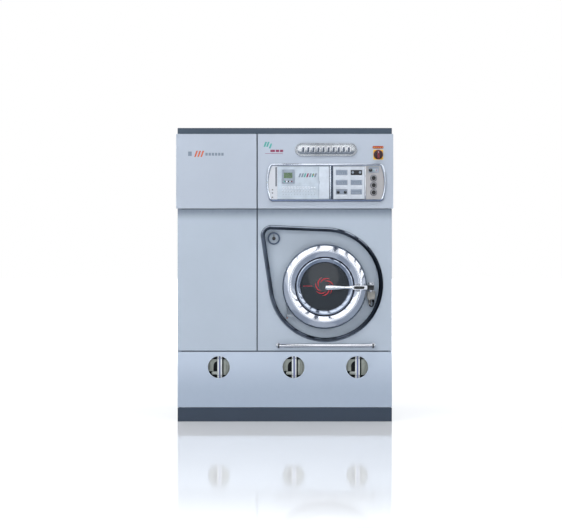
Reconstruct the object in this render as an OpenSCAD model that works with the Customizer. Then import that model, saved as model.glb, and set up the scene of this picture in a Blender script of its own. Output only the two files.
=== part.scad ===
// Dry cleaning machine: closed-circuit cabinet with a round loading door, a perforated basket,
// solvent tanks in the base and a control fascia. Millimetres, +Z up, the front faces -Y.
// The origin is the middle of the cabinet's footprint, on the floor.

/* [Cabinet] */
// Width of the cabinet over its side panels
body_w = 1314; // [1300:1:1340]
// Depth of the cabinet from the front panels to the back panel
body_d = 1200; // [1190:1:1240]
// Height from the floor to the top of the cap
body_h = 1800; // [1790:1:1840]
// Height of the plinth and of the safety tray's walls
plinth_h = 84; // [70:1:86]
// Level of the joint between the lower panel and the middle panels
lower_joint = 431; // [429:1:433]
// Height of the dark cap on top
cap_h = 37; // [30:1:45]
// How far the fascia overhangs each side panel
fascia_over = 8; // [2:0.5:12]
// How far the fascia stands in front of the middle panels
fascia_proud = 12; // [6:0.5:16]
// Width of the right-hand panels, from the joint's middle to the cabinet's side
right_w = 826; // [820:1:832]
// Width of the joints between the panels
joint_gap = 8; // [4:0.5:10]
// Thickness of the cabinet's sheet metal
sheet_t = 2; // [1.5:0.1:3]
// Depth of the folded edges round each panel
fold_d = 20; // [14:0.5:24]

/* [Frame and tray] */
// Side of the square frame tubes
tube_w = 50; // [40:1:52]
// Thickness of the safety tray's floor
tray_floor_t = 4; // [3:0.5:6]
// Thickness of the safety tray's walls
tray_wall_t = 3; // [2:0.5:4]

/* [Loading door] */
// Distance of the door's axis from the cabinet's right side
door_inset = 412; // [410:1:416]
// Door axis, above the floor
door_z = 828; // [826:1:832]
// Outer radius of the door ring
door_r = 260; // [250:1:262]
// Half width of the polished convex band
band_half = 37; // [34:0.5:38]
// Width of the ring's inner bezel, from its lip to the glass
bezel_w = 25; // [22:0.5:28]
// Thickness of the door glass
glass_t = 10; // [6:0.5:11]
// Width of the rebate that holds the glass
glass_seat = 17; // [12:0.5:18]
// How far the loading mouth stays inside the door ring's edge
mouth_lap = 60; // [56:1:66]

/* [Recess] */
// Depth of the teardrop recess behind the middle panels
recess_d = 52; // [51:0.5:56]
// How far the teardrop's large arc stands to the right of the door's axis
tear_dx = 7; // [5:1:9]
// How far the teardrop's large arc stands above the door's axis
tear_dz = 11; // [8:1:14]
// Radius of the teardrop's large arc, over the trim
tear_r = 352; // [350:1:354]
// Middle of the teardrop's small arc, from the joint between the panels
lobe_dx = 85; // [83:1:88]
// Middle of the teardrop's small arc, above the floor
lobe_z = 1141; // [1136:1:1146]
// Radius of the teardrop's small arc, over the trim
lobe_r = 64; // [62:1:66]
// Width of the chrome trim
trim_w = 27; // [22:0.5:30]

/* [Hinge and latch] */
// How far the hinge axis stands inside the door ring's edge
hinge_in = 30; // [28:1:32]
// Radius of the hinge pin
hinge_pin_r = 5; // [4:0.5:6]
// Running clearance round the hinge pin and the latch pin
pin_clear = 0.06; // [0.02:0.01:0.1]
// Lower end of the hinge pin
hinge_bottom = 629; // [620:1:635]
// How far the latch lever's pivot stands inside the door ring's edge
latch_in = 59; // [57:1:61]
// Latch lever's centre line, above the floor
latch_z = 822; // [820:1:824]
// Radius of the latch lever's fat end
grip_r = 14.5; // [12:0.5:16]
// Radius of the latch lever's thin end
grip_neck_r = 7; // [6:0.5:8]
// How far the catch roller's axis stands outside the door ring's edge
catch_out = 19; // [18:1:22]
// Radius of the catch roller
catch_r = 21; // [18:0.5:21]

/* [Basket and drive] */
// Room between the drum housing and the cabinet's right side
drum_side_gap = 24; // [23:1:30]
// Room between the basket and the drum housing
basket_gap = 16; // [14:1:22]
// Length of the basket inside
basket_l = 530; // [500:5:535]
// Thickness of the basket's skin
basket_t = 2; // [1.5:0.5:3]
// Rows of drain holes along the basket
hole_rows = 8; // [5:1:9]
// Drain holes round the basket
hole_columns = 18; // [12:2:24]
// Radius of the drain holes
hole_r = 9; // [6:0.5:11]
// Height of the lifters inside the basket
lifter_h = 62; // [40:1:75]
// Number of lifters
lifter_count = 3; // [2:1:4]
// Thickness of the drum housing
housing_t = 4; // [3:0.5:5]
// Radius of the basket's shaft
shaft_r = 35; // [28:1:40]
// Running clearance between the shaft and its bearings
shaft_clear = 0.05; // [0.02:0.01:0.1]
// Radius of the drum pulley
pulley_r = 250; // [200:5:255]
// Radius of the motor pulley
motor_pulley_r = 60; // [50:1:70]

/* [Controls] */
// How far the control bezel's middle stands from the cabinet's right side
panel_inset = 403; // [401:1:405]
// Width of the control bezel between its corners
panel_w = 694; // [690:1:700]
// Height of the control bezel
panel_h = 232; // [228:1:240]
// How far the bezel's ends bow outwards
panel_bow = 20; // [10:1:24]
// Width of the bezel's raised rim
panel_rim = 14; // [10:0.5:16]
// Height of the bezel's raised rim
panel_proud = 14; // [10:0.5:18]
// Radius of the three push buttons
button_r = 13; // [10:0.5:14]
// Travel of the push buttons
button_travel = 4; // [2:0.5:5]
// Radius of the main isolator's knob
isolator_r = 27.5; // [22:0.5:29]

/* [Lower panel and rail] */
// Radius of the sight holes
sight_r = 68; // [60:1:72]
// Level of the sight holes
sight_z = 333; // [325:1:340]
// Radius of the chrome rail
rail_r = 13; // [10:0.5:15]
// Level of the chrome rail
rail_z = 466; // [462:1:470]

/* [Hidden] */
$fn = 96;
SMALL_FN = 40;
BOLT_FN = 16;
seat = 0.3;
front = -body_d / 2;
back = body_d / 2;
half_w = body_w / 2;
cap_z = body_h - cap_h;
louvre_w = 150;
louvre_dx = 380;
louvre_count = 8;
louvre_pitch = 40;
belt_gap = seat;
strap_inset = 0.05;
plate_r = 40.5;
tear_top = lobe_z + lobe_r;
// The height left over is shared out below the fascia, below the bezel and round the oval plate.
room = (body_h - cap_h - tear_top - panel_h - 2 * plate_r) / 245;
fascia_z = tear_top + 101 * room;
panel_z = fascia_z + 42 * room + panel_h / 2;
plate_z = cap_z - 56.5 * room - plate_r;
panel_top = fascia_z - joint_gap / 2;
fascia_front = front - fascia_proud;
recess_front = front + recess_d;
split_x = half_w - right_w;
door_x = half_w - door_inset;
panel_x = half_w - panel_inset;

// Frame tubes stand inside the panels' folded edges.
tube_x = half_w - fold_d - sheet_t;
tube_in = tube_x - tube_w;
tube_front = front + fold_d;
tube_back = back - fold_d;
rail_low_z = lower_joint - tube_w / 2;
rail_mid_z = fascia_z - tube_w / 2;
rail_top_z = cap_z - tube_w;

// Door, measured from the ring's back face towards the front.
ring_back = front + 4;
ring_rim_d = 22;
ring_band_d = 39;
ring_lip_d = 30;
band_r = door_r - band_half - 4;
groove_r = band_r - band_half - 4;
bezel_r = groove_r - 6;
glass_r = bezel_r - bezel_w;
mouth_r = door_r - mouth_lap;
seal_t = 5.7;
mouth_t = 4;
mouth_front = ring_back + seal_t + seat;
hinge_x = door_x - door_r + hinge_in;
hinge_y = front + 17;
strap_low = door_z - 100;
strap_high = door_z + 100;

// Recess.
tear_x = door_x + tear_dx;
tear_z = door_z + tear_dz;
lobe_x = split_x + lobe_dx;
dial_x = lobe_x + 17;
dial_z = lobe_z - 18;
dial_r = 38.5;

// Latch and door switch.
latch_x = door_x + door_r - latch_in;
catch_x = door_x + door_r + catch_out;
latch_y = front - 62;
latch_half = 7;
latch_pin_r = 4;
latch_tip_x = catch_x - catch_r - seat;
switch_x = tear_x + 279;
switch_half = 23;
switch_z = 750;
cable_x = switch_x - 9;
rail_ends = [door_x - 282, door_x + 294];

// Drum.
housing_front = front + 75;
housing_back = housing_front + basket_l + 40;
housing_out_r = door_inset - drum_side_gap;
housing_r = housing_out_r - housing_t;
basket_r = housing_r - basket_gap - basket_t;
basket_front = housing_front + 15;
basket_back = basket_front + basket_l;
basket_plate_t = 6;
hub_r = 90;
hub_h = 14;
cross_top = door_z - housing_out_r - 4;
trap_y = housing_back + 129;
cross_ys = [housing_front + 125, housing_front + 445, trap_y + 126];

// Drive.
pulley_y = housing_back + 277;
pulley_w = 56;
shaft_end = pulley_y + pulley_w + 14;
motor_x = -60;
motor_z = 560;
motor_r = 92;
motor_front = pulley_y - 212;
belt_t = 9;
motor_shaft_r = 14;

// Controls.
base_t = 3;
base_y = fascia_front - base_t;
module_t = 6;
module_y = base_y - module_t;
module_low = panel_z - 100;
module_high = panel_z + 100;
cheek_t = 4;
cheek_y = base_y - cheek_t;
collar_h = 9;
button_clear = 0.1;
knob_pin_r = 3;
knob_pin_in = 1.7;
button_x = panel_x + 290;
button_zs = [panel_z + 28, panel_z - 16, panel_z - 60];
selector_x = panel_x + 271;
selector_r = 10.5;
selector_floor = base_y - 2;
selector_z = panel_z + 76;
knob_xs = [panel_x + 73, panel_x + 116];
knob_z = panel_z - 59;
window_xs = [panel_x + 59, panel_x + 149];
window_zs = [panel_z + 46, panel_z - 15, panel_z - 72];
window_w = 71;
window_h = 32;
divider_x = panel_x + 20;
strip_x = panel_x + 235.3;
strip_w = 9;
display_x = panel_x - 272;
display_z = panel_z - 6;
display_w = 78;
display_h = 86;
isolator_x = half_w - 84;
isolator_z = panel_z + panel_h / 2 + 25 * room + 31;
plate_x = panel_x - 1;

// Solvent circuit.
sight_xs = [-half_w + 253, split_x + 223, half_w - 213];
tank_top = cross_top - tube_w - 6;
tank_front = front + 80;
tank_back = housing_back + 35;
tank_end = tube_in - 5;
tank_edges = [
    [-tank_end, split_x - 13], [split_x + 11, door_x + 17], [door_x + 29, tank_end]
];
gauge_front = tank_front - 51;
still_left = 65 - tube_x;
still_r = min(180, (door_x - housing_out_r - 21 - still_left) / 2);
still_x = still_left + still_r;
still_y = (cross_ys[0] + cross_ys[1]) / 2;
filter_left = 85 - tube_x;
filter_r = min(150, (motor_x - motor_r - 57 - filter_left) / 2);
filter_x = filter_left + filter_r;
filter_y = cross_ys[2];
pump_y = filter_y + 60;
pump_z = 110;
pump_x = filter_x + 180;
pipe_r = 15;
fan_x = door_x - 205;
fan_y = housing_front + 405;
fan_z = cap_z - 263;
fan_r = min(190, norm([fan_x - door_x, fan_z - door_z]) - housing_out_r + 20);
duct_x = door_x + 35;

// Service connections through the back panel: x, z and radius.
service = [
    [-half_w + 207, 240, 13.2], [-half_w + 287, 240, 13.2], [-half_w + 367, 240, 6.6],
    [half_w - 177, 1250, 16]
];

// ---------------------------------------------------------------- helpers

// A block from its lowest corner to its highest.
module block(a, b) {
    translate(a) cube(b - a);
}

// A plate in the XZ plane, from y0 back to y0 + t, drawn in (x, z).
module plate(y0, t) {
    translate([0, y0 + t, 0]) rotate([90, 0, 0]) linear_extrude(height = t) children();
}

// A cylinder along Y.
module rod_y(x, z, r, y0, y1, fn = $fn) {
    translate([x, y0, z]) rotate([-90, 0, 0]) cylinder(r = r, h = y1 - y0, $fn = fn);
}

// A cylinder along X.
module rod_x(y, z, r, x0, x1, fn = $fn) {
    translate([x0, y, z]) rotate([0, 90, 0]) cylinder(r = r, h = x1 - x0, $fn = fn);
}

// A cylinder along Z.
module rod_z(x, y, r, z0, z1, fn = $fn) {
    translate([x, y, z0]) cylinder(r = r, h = z1 - z0, $fn = fn);
}

// A tube along Y with a true bore.
module tube_y(x, z, r_out, r_in, y0, y1) {
    difference() {
        rod_y(x, z, r_out, y0, y1);
        rod_y(x, z, r_in, y0 - 1, y1 + 1);
    }
}

// A ring of bolt heads round an axis along Y.
module bolts_y(x, z, r, count, head_r, y0, y1) {
    for (i = [0:count - 1]) {
        a = (i + 0.5) * 360 / count;
        rod_y(x + r * cos(a), z + r * sin(a), head_r, y0, y1, BOLT_FN);
    }
}

// A pipe through a row of points along the axes, with a ball fitting at each turn.
module pipe(points, r) {
    for (i = [0:len(points) - 2]) {
        a = points[i];
        run = points[i + 1] - a;
        turn = run[0] != 0 ? [0, 90, 0] : run[1] != 0 ? [-90, 0, 0] : [0, 0, 0];
        low = min(0, run[0] + run[1] + run[2]);
        translate(a) rotate(turn) translate([0, 0, low])
            cylinder(r = r, h = norm(run), $fn = SMALL_FN);
        if (i > 0) translate(a) sphere(r = r + 3, $fn = SMALL_FN);
    }
}

// A profile drawn in (radius, distance towards the front), turned round the Y axis.
module turned(x, y, z) {
    translate([x, y, z]) rotate([90, 0, 0]) rotate_extrude() children();
}

// Two circles and their outer tangents: the teardrop, and the belt's path.
module strap_2d(c1, r1, c2, r2) {
    run = c2 - c1;
    lean = atan2(run[1], run[0]);
    open = acos((r1 - r2) / norm(run));
    translate(c1) circle(r = r1, $fn = 180);
    translate(c2) circle(r = r2);
    polygon([
        c1 + (r1 - strap_inset) * [cos(lean + open), sin(lean + open)],
        c1 + (r1 - strap_inset) * [cos(lean - open), sin(lean - open)],
        c2 + (r2 - strap_inset) * [cos(lean - open), sin(lean - open)],
        c2 + (r2 - strap_inset) * [cos(lean + open), sin(lean + open)]
    ]);
}

// The teardrop outline, drawn in by some distance.
module tear_2d(inset) {
    strap_2d([tear_x, tear_z], tear_r - inset, [lobe_x, lobe_z], lobe_r - inset);
}

// A panel of folded sheet: a flat face with folded edges behind it.
module folded_panel(x0, z0, x1, z1, y0, depth) {
    difference() {
        block([x0, y0, z0], [x1, y0 + depth, z1]);
        block(
            [x0 + sheet_t, y0 + sheet_t, z0 + sheet_t],
            [x1 - sheet_t, y0 + depth + 1, z1 - sheet_t]
        );
    }
}

// The control bezel's outline: a rectangle whose ends bow outwards.
module bowed_2d(inset) {
    half_x = panel_w / 2 - inset;
    half_z = panel_h / 2 - inset;
    bow_r = half_z * half_z / (2 * panel_bow) + panel_bow / 2;
    translate([panel_x, panel_z]) {
        translate([-half_x, -half_z]) square([2 * half_x, 2 * half_z]);
        for (side = [-1, 1]) intersection() {
            translate([side * (half_x + panel_bow - bow_r), 0]) circle(r = bow_r, $fn = 180);
            translate([side * (half_x + panel_bow - 1) - panel_bow, -half_z])
                square([2 * panel_bow, 2 * half_z]);
        }
    }
}

// ---------------------------------------------------------------- cabinet

module safety_tray() {
    side = half_w - sheet_t;
    deep = back - tray_wall_t;
    color("#2c3845") difference() {
        block([-side, -deep, 0], [side, deep, plinth_h]);
        block(
            [tray_wall_t - side, tray_wall_t - deep, tray_floor_t],
            [side - tray_wall_t, deep - tray_wall_t, plinth_h + 1]
        );
    }
}

module plinth() {
    color("#3a4757") block([-half_w, front, 0], [half_w, front + tray_wall_t, plinth_h]);
}

module frame_posts() {
    foot = tray_floor_t;
    color("#6f7b88") {
        for (x = [-tube_x, tube_x - tube_w], y = [tube_front, tube_back - tube_w]) {
            block([x, y, foot], [x + tube_w, y + tube_w, cap_z]);
        }
        for (span = [[rail_low_z + tube_w, rail_mid_z], [rail_mid_z + tube_w, rail_top_z]]) {
            block(
                [split_x - tube_w / 2, tube_front, span[0]],
                [split_x + tube_w / 2, tube_front + tube_w, span[1]]
            );
        }
    }
}

module drum_saddle(y) {
    reach = housing_out_r - 98;
    plate(y - 5, 10) difference() {
        translate([door_x - reach, cross_top]) square([2 * reach, reach * 0.65]);
        translate([door_x, door_z]) circle(r = housing_out_r);
    }
}

module frame_rails() {
    end = tube_in - seat / 2;
    color("#6f7b88") {
        for (z = [rail_low_z, rail_mid_z, rail_top_z], y = [tube_front, tube_back - tube_w]) {
            block([-end, y, z], [end, y + tube_w, z + tube_w]);
        }
        for (z = [rail_low_z, rail_mid_z, rail_top_z], x = [-tube_x, tube_in]) {
            block(
                [x, tube_front + tube_w + seat / 2, z],
                [x + tube_w, tube_back - tube_w - seat / 2, z + tube_w]
            );
        }
        for (y = cross_ys) {
            block([-end, y - tube_w / 2, cross_top - tube_w], [end, y + tube_w / 2, cross_top]);
        }
        for (y = [cross_ys[0], cross_ys[1]]) drum_saddle(y);
    }
}

module side_panels() {
    y0 = front + fold_d + seat;
    y1 = back - fold_d - seat;
    z0 = plinth_h + 3;
    color("#a4b0c0") for (side = [-1, 1]) mirror([side < 0 ? 1 : 0, 0, 0]) difference() {
        block([half_w - fold_d - sheet_t, y0, z0], [half_w, y1, cap_z]);
        block(
            [half_w - fold_d - sheet_t - 1, y0 + sheet_t, z0 + sheet_t],
            [half_w - sheet_t, y1 - sheet_t, cap_z - sheet_t]
        );
    }
}

// A louvre's hood, open below, on the back panel.
module louvre_hood(x, z) {
    out = 12;
    lip = 1.5;
    translate([x - louvre_w / 2, back, z]) rotate([90, 0, 90]) {
        linear_extrude(height = louvre_w) polygon([
            [-sheet_t / 2, 18], [out, 1], [out, -1], [out - lip, -1], [-sheet_t / 2, 18 - 2 * lip]
        ]);
        for (end = [0, louvre_w - lip]) translate([0, 0, end]) linear_extrude(height = lip)
            polygon([[-sheet_t / 2, 18], [out, 1], [out, -1], [-sheet_t / 2, -1]]);
    }
}

module back_panel() {
    z0 = plinth_h + 3;
    slot_h = 12;
    places = [for (x = [-louvre_dx, 0, louvre_dx], i = [0:louvre_count - 1])
        [x, cap_z - 423 + i * louvre_pitch]];
    color("#a4b0c0") {
        difference() {
            mirror([0, 1, 0]) folded_panel(-half_w, z0, half_w, cap_z, -back, fold_d);
            for (p = places) block(
                [p[0] - louvre_w / 2 + 2, back - sheet_t - 1, p[1]],
                [p[0] + louvre_w / 2 - 2, back + 1, p[1] + slot_h]
            );
            for (s = service) rod_y(s[0], s[1], s[2] + 1, back - fold_d, back + 1);
        }
        for (p = places) louvre_hood(p[0], p[1]);
    }
}

module top_cap() {
    lap = 4;
    color("#495a6b") difference() {
        block([-half_w, front - lap, cap_z], [half_w, back + lap, body_h]);
        block(
            [sheet_t - half_w, front - lap + sheet_t, cap_z - 1],
            [half_w - sheet_t, back + lap - sheet_t, body_h - sheet_t]
        );
    }
}

module fascia_left() {
    color("#b0bac8") folded_panel(
        -half_w - fascia_over, fascia_z, split_x - joint_gap / 2, cap_z - seat,
        fascia_front, fold_d + fascia_proud
    );
}

module fascia_right() {
    color("#b0bac8") folded_panel(
        split_x + joint_gap / 2, fascia_z, half_w + fascia_over, cap_z - seat,
        fascia_front, fold_d + fascia_proud
    );
}

module panel_left() {
    color("#b4bfce") folded_panel(
        -half_w, lower_joint + joint_gap / 2, split_x - joint_gap / 2, panel_top, front, fold_d
    );
}

module panel_right() {
    color("#b4bfce") difference() {
        folded_panel(
            split_x + joint_gap / 2, lower_joint + joint_gap / 2, half_w, panel_top,
            front, fold_d
        );
        plate(front - 1, sheet_t + 2) tear_2d(trim_w - 3);
    }
}

module panel_lower() {
    color("#a8b5c7") difference() {
        folded_panel(
            -half_w, plinth_h + 3, half_w, lower_joint - joint_gap / 2, front, fold_d
        );
        for (x = sight_xs) rod_y(x, sight_z, sight_r, front - 1, front + sheet_t + 1);
    }
}

// ---------------------------------------------------------------- recess round the door

module recess_pan() {
    color("#8f9aa9") difference() {
        plate(front + sheet_t, recess_d) tear_2d(trim_w - 6);
        plate(front + sheet_t - 1, recess_d - sheet_t + 1) tear_2d(trim_w - 3);
        rod_y(door_x, door_z, mouth_r + mouth_t + seat, recess_front - 1, recess_front + 9);
    }
}

// Half-round section in flats, its base on the panel.
module trim_section() {
    polygon([for (a = [0:20:180]) trim_w / 2 * [cos(a), sin(a)]]);
}

// The trim follows the recess: two arcs and the two straight runs between them.
module recess_trim() {
    run = [lobe_x - tear_x, lobe_z - tear_z];
    lean = atan2(run[1], run[0]);
    open = acos((tear_r - lobe_r) / norm(run));
    big_r = tear_r - trim_w / 2;
    straight = norm(run) * sin(open);
    color("#c9d2dc") {
        translate([tear_x, front, tear_z]) rotate([90, 0, 0]) {
            rotate([0, 0, lean + open]) rotate_extrude(angle = 360 - 2 * open, $fn = 180)
                translate([big_r, 0]) trim_section();
            rotate([0, 0, lean + open]) translate([big_r, 0, 0]) rotate([90, 0, 0])
                linear_extrude(height = straight) trim_section();
            rotate([0, 0, lean - open]) translate([big_r, straight, 0]) rotate([90, 0, 0])
                linear_extrude(height = straight) trim_section();
        }
        translate([lobe_x, front, lobe_z]) rotate([90, 0, 0]) rotate([0, 0, lean - open])
            rotate_extrude(angle = 2 * open, $fn = 180)
            translate([lobe_r - trim_w / 2, 0]) trim_section();
    }
}

module chrome_rail() {
    rail_y = front - 40;
    color("#d3dae2") {
        rod_x(rail_y, rail_z, rail_r, rail_ends[0], rail_ends[1]);
        for (x = rail_ends) {
            translate([x, rail_y, rail_z]) sphere(r = rail_r);
            rod_y(x, rail_z, 8, rail_y, front, SMALL_FN);
            rod_y(x, rail_z, 17, front - 5, front, SMALL_FN);
        }
    }
}

// ---------------------------------------------------------------- loading door

// The ring's section, in (radius, distance in front of its back face): a broad polished band, a
// groove and an inner bezel that slopes down to the glass.
module ring_section() {
    band = [for (a = [84:-12:-84]) [
        band_r + band_half * sin(a),
        ring_rim_d + (ring_band_d - ring_rim_d) * cos(a)
    ]];
    bezel = [for (a = [80:-16:0]) [
        bezel_r - (bezel_r - glass_r) * cos(a),
        glass_t + (ring_lip_d - glass_t) * sin(a)
    ]];
    polygon(concat(
        [[door_r - 3, 0], [door_r, 3], [door_r, ring_rim_d - 6], [door_r - 3, ring_rim_d - 1]],
        band,
        [[groove_r, ring_rim_d - 2], [groove_r - 3, ring_rim_d - 2], [bezel_r, ring_lip_d]],
        bezel,
        [[glass_r + glass_seat, glass_t], [glass_r + glass_seat, 0]]
    ));
}

module door_ring() {
    color("#c8ced6") turned(door_x, ring_back, door_z) ring_section();
}

module door_glass() {
    pane_r = glass_r + glass_seat - seat;
    color("#2b3036") rod_y(door_x, door_z, pane_r, ring_back - glass_t, ring_back);
}

// Seal ring behind the door: it holds the pane and meets the mouth's edge.
module door_gasket() {
    lip = mouth_r + mouth_t + 10;
    color("#22262b") turned(door_x, ring_back, door_z) polygon([
        [glass_r + 4, 0], [glass_r + 4, -4], [mouth_r - 8, -4], [mouth_r - 4, -seal_t],
        [lip - 4, -seal_t], [lip, -2], [lip, 0]
    ]);
}

module hinge_arm() {
    arm_z = door_z - 178;
    knuckle_r = 9;
    color("#aeb6c0") difference() {
        union() {
            rod_z(hinge_x, hinge_y, knuckle_r, strap_low, strap_high, SMALL_FN);
            block([hinge_x - 6, ring_back, strap_low], [hinge_x + 14, hinge_y - 3, strap_high]);
            rod_z(hinge_x, hinge_y, knuckle_r, arm_z - 8, arm_z + 8, SMALL_FN);
            block([hinge_x, ring_back, arm_z - 5], [hinge_x + 61, ring_back + 8, arm_z + 5]);
        }
        rod_z(hinge_x, hinge_y, hinge_pin_r + pin_clear, arm_z - 9, strap_high + 1, SMALL_FN);
    }
}

module hinge_bracket() {
    lug_h = 16;
    lug_r = 9;
    color("#aeb6c0") union() {
        rod_z(
            hinge_x, hinge_y, hinge_pin_r, hinge_bottom, strap_high + lug_h + 2, SMALL_FN
        );
        for (z = [strap_low - seat - lug_h, strap_high + seat]) {
            rod_z(hinge_x, hinge_y, lug_r, z, z + lug_h, SMALL_FN);
            block([hinge_x - lug_r, hinge_y, z], [hinge_x + lug_r, recess_front, z + lug_h]);
        }
    }
}

module latch_bracket() {
    ear_z = 24;
    color("#c8ced6") difference() {
        union() {
            for (side = [-1, 1]) {
                block(
                    [latch_x - 9, latch_y, latch_z + side * 12.3 - (side < 0 ? 6 : 0)],
                    [latch_x + 9, ring_back - 20, latch_z + side * 12.3 + (side > 0 ? 6 : 0)]
                );
                translate([latch_x, latch_y, latch_z + side * 12.3 - (side < 0 ? 6 : 0)])
                    cylinder(r = 9, h = 6, $fn = SMALL_FN);
            }
            block(
                [latch_x - 16, ring_back - ring_band_d - 3, latch_z - ear_z],
                [latch_x + 16, ring_back - 20, latch_z + ear_z]
            );
            rod_z(latch_x, latch_y, latch_pin_r, latch_z - 25, latch_z + 25, SMALL_FN);
        }
        turned(door_x, ring_back, door_z) ring_section();
    }
}

module latch_lever() {
    grip_x0 = latch_x - 202;
    grip_x1 = latch_x - 74;
    neck_x1 = latch_x - 38;
    slot = [latch_x - 25, latch_x + 40];
    color("#dfe4ea") difference() {
        union() {
            translate([grip_x0 + grip_r, latch_y, latch_z]) sphere(r = grip_r);
            translate([grip_x0 + grip_r, latch_y, latch_z]) rotate([0, 90, 0])
                cylinder(r1 = grip_r, r2 = grip_neck_r, h = grip_x1 - grip_x0 - grip_r);
            rod_x(latch_y, latch_z, grip_neck_r, grip_x1, neck_x1);
            rod_x(latch_y, latch_z, grip_neck_r + 2.5, neck_x1 - 12, neck_x1 + 4);
            intersection() {
                block(
                    [neck_x1 + 4, latch_y - latch_half, latch_z - 12],
                    [latch_tip_x, latch_y + latch_half, latch_z + 12]
                );
                rod_z(latch_x, latch_y, latch_tip_x - latch_x, latch_z - 13, latch_z + 13);
            }
        }
        for (side = [-1, 1]) block(
            [slot[0], latch_y + side * (latch_half - 1) - 2, latch_z - 6],
            [slot[1], latch_y + side * (latch_half - 1) + 2, latch_z + 6]
        );
        rod_z(latch_x, latch_y, latch_pin_r + pin_clear, latch_z - 20, latch_z + 20, SMALL_FN);
    }
}

module latch_keeper() {
    base_x = min(catch_x + 28, tear_x + tear_r - 52);
    color("#c8ced6") {
        block([catch_x - 8, recess_front - 5, latch_z - 23], [base_x, recess_front, latch_z + 32]);
        for (z = [latch_z - 18, latch_z + 27])
            rod_y(base_x - 10, z, 4, recess_front - 8, recess_front - 5, BOLT_FN);
        for (side = [-1, 1]) block(
            [catch_x - 8, latch_y - 8, latch_z + side * 17 - 3],
            [catch_x + 8, recess_front - 5, latch_z + side * 17 + 3]
        );
        rod_z(catch_x, latch_y, catch_r, latch_z - 14, latch_z + 14);
        rod_z(catch_x, latch_y, 5, latch_z - 22, latch_z + 22, SMALL_FN);
        for (side = [-1, 1]) translate([catch_x, latch_y, latch_z + side * 23])
            sphere(r = 7, $fn = SMALL_FN);
    }
}

module door_switch() {
    y = recess_front - 20;
    cover_y = recess_front - 42;
    top = switch_z + 47;
    color("#8f8f92") {
        block([switch_x - switch_half, cover_y, switch_z], [switch_x + switch_half, recess_front, top]);
        for (x = [-1, 1], z = [switch_z + 7, top - 7])
            rod_y(switch_x + x * (switch_half - 7), z, 3, cover_y - 1.5, cover_y, BOLT_FN);
    }
    color("#15171a") {
        rod_z(cable_x, y, 9, switch_z - 12, switch_z, SMALL_FN);
        rod_z(cable_x, y, 7, switch_z - 33, switch_z - 12, SMALL_FN);
    }
}

// The switch's lead: down out of its gland, round a half loop and up into the wall gland.
module switch_cable() {
    y = recess_front - 20;
    lead_r = 4;
    loop_r = 11;
    loop_z = switch_z - 34;
    wall_z = switch_z - 12;
    color("#15171a") {
        rod_z(cable_x, y, lead_r, loop_z, switch_z - 33, SMALL_FN);
        translate([cable_x + loop_r, y, loop_z]) rotate([90, 0, 0]) rotate([0, 0, 180])
            rotate_extrude(angle = 180, $fn = SMALL_FN) translate([loop_r, 0])
            circle(r = lead_r, $fn = SMALL_FN);
        rod_z(cable_x + 2 * loop_r, y, lead_r, loop_z, wall_z, SMALL_FN);
        translate([cable_x + 2 * loop_r, y, wall_z]) sphere(r = 8, $fn = SMALL_FN);
        rod_y(cable_x + 2 * loop_r, wall_z, 6, y, recess_front, SMALL_FN);
    }
}

module dial_gauge() {
    color("#d5dbe2") turned(dial_x, recess_front, dial_z) polygon([
        [0, 0], [dial_r, 0], [dial_r, 14], [dial_r - 3, 20], [dial_r - 7, 20],
        [dial_r - 9, 12], [3 + pin_clear, 12], [3 + pin_clear, 6], [0, 6]
    ]);
}

module dial_pointer() {
    y = recess_front - 12.5;
    color("#2a2d31") {
        rod_y(dial_x, dial_z, 3, y - 1, recess_front - 6.3, SMALL_FN);
        rod_y(dial_x, dial_z, 11, y - 5, y, SMALL_FN);
        block([dial_x - 2, y - 4, dial_z], [dial_x + 2, y - 1, dial_z + 26]);
    }
}

// ---------------------------------------------------------------- control fascia

module control_bezel() {
    half_z = panel_h / 2 - panel_rim;
    color("#c4ccd5") {
        plate(base_y, base_t) rounded_bow_2d();
        plate(base_y - panel_proud + base_t, panel_proud - base_t) difference() {
            rounded_bow_2d();
            bowed_2d(panel_rim);
        }
        block(
            [divider_x, module_y - 3, panel_z - half_z], [divider_x + 20, base_y, panel_z + half_z]
        );
        block(
            [strip_x, module_y - 1, panel_z - half_z], [strip_x + strip_w, base_y, panel_z + half_z]
        );
    }
}

module rounded_bow_2d() {
    offset(r = 12, $fn = 32) offset(delta = -12) bowed_2d(0);
}

// The keypad: a foil panel with rows of small keys, a hinged flap's joint and a window for the
// display.
module keypad_panel() {
    pitch = 17.4;
    first_x = panel_x - 263;
    flap_x = panel_x - 48;
    color("#d5dff0") difference() {
        union() {
            block([panel_x - 299, module_y, module_low], [panel_x + 18, base_y, module_high]);
            for (row = [0:2], i = [0:11]) {
                high = row < 2 && i < 10 ? 15 : 9;
                x = first_x + i * pitch;
                z = panel_z - 31 - row * 20.5;
                block([x - 6, module_y - 1, z - high / 2], [x + 6, module_y, z + high / 2]);
            }
        }
        block([flap_x, module_y - 1, module_low - 1], [flap_x + 3, module_y + 2, module_high + 1]);
        block(
            [display_x, module_y - 1, display_z],
            [display_x + display_w, module_y + 2, display_z + display_h]
        );
    }
}

module display_module() {
    face = module_y - 6;
    screen = [display_x + 12, display_z + 33];
    color("#8d99a8") difference() {
        block(
            [display_x + seat, face, display_z + seat],
            [display_x + display_w - seat, module_y + 2, display_z + display_h - seat]
        );
        block([screen[0], face - 1, screen[1]], [screen[0] + 53, face + 3, screen[1] + 34]);
        for (dx = [13, 30, 50, 65]) {
            x = display_x + dx;
            block([x - 6, face - 1, display_z + 8], [x + 6, face + 1, display_z + 17]);
        }
    }
}

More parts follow.
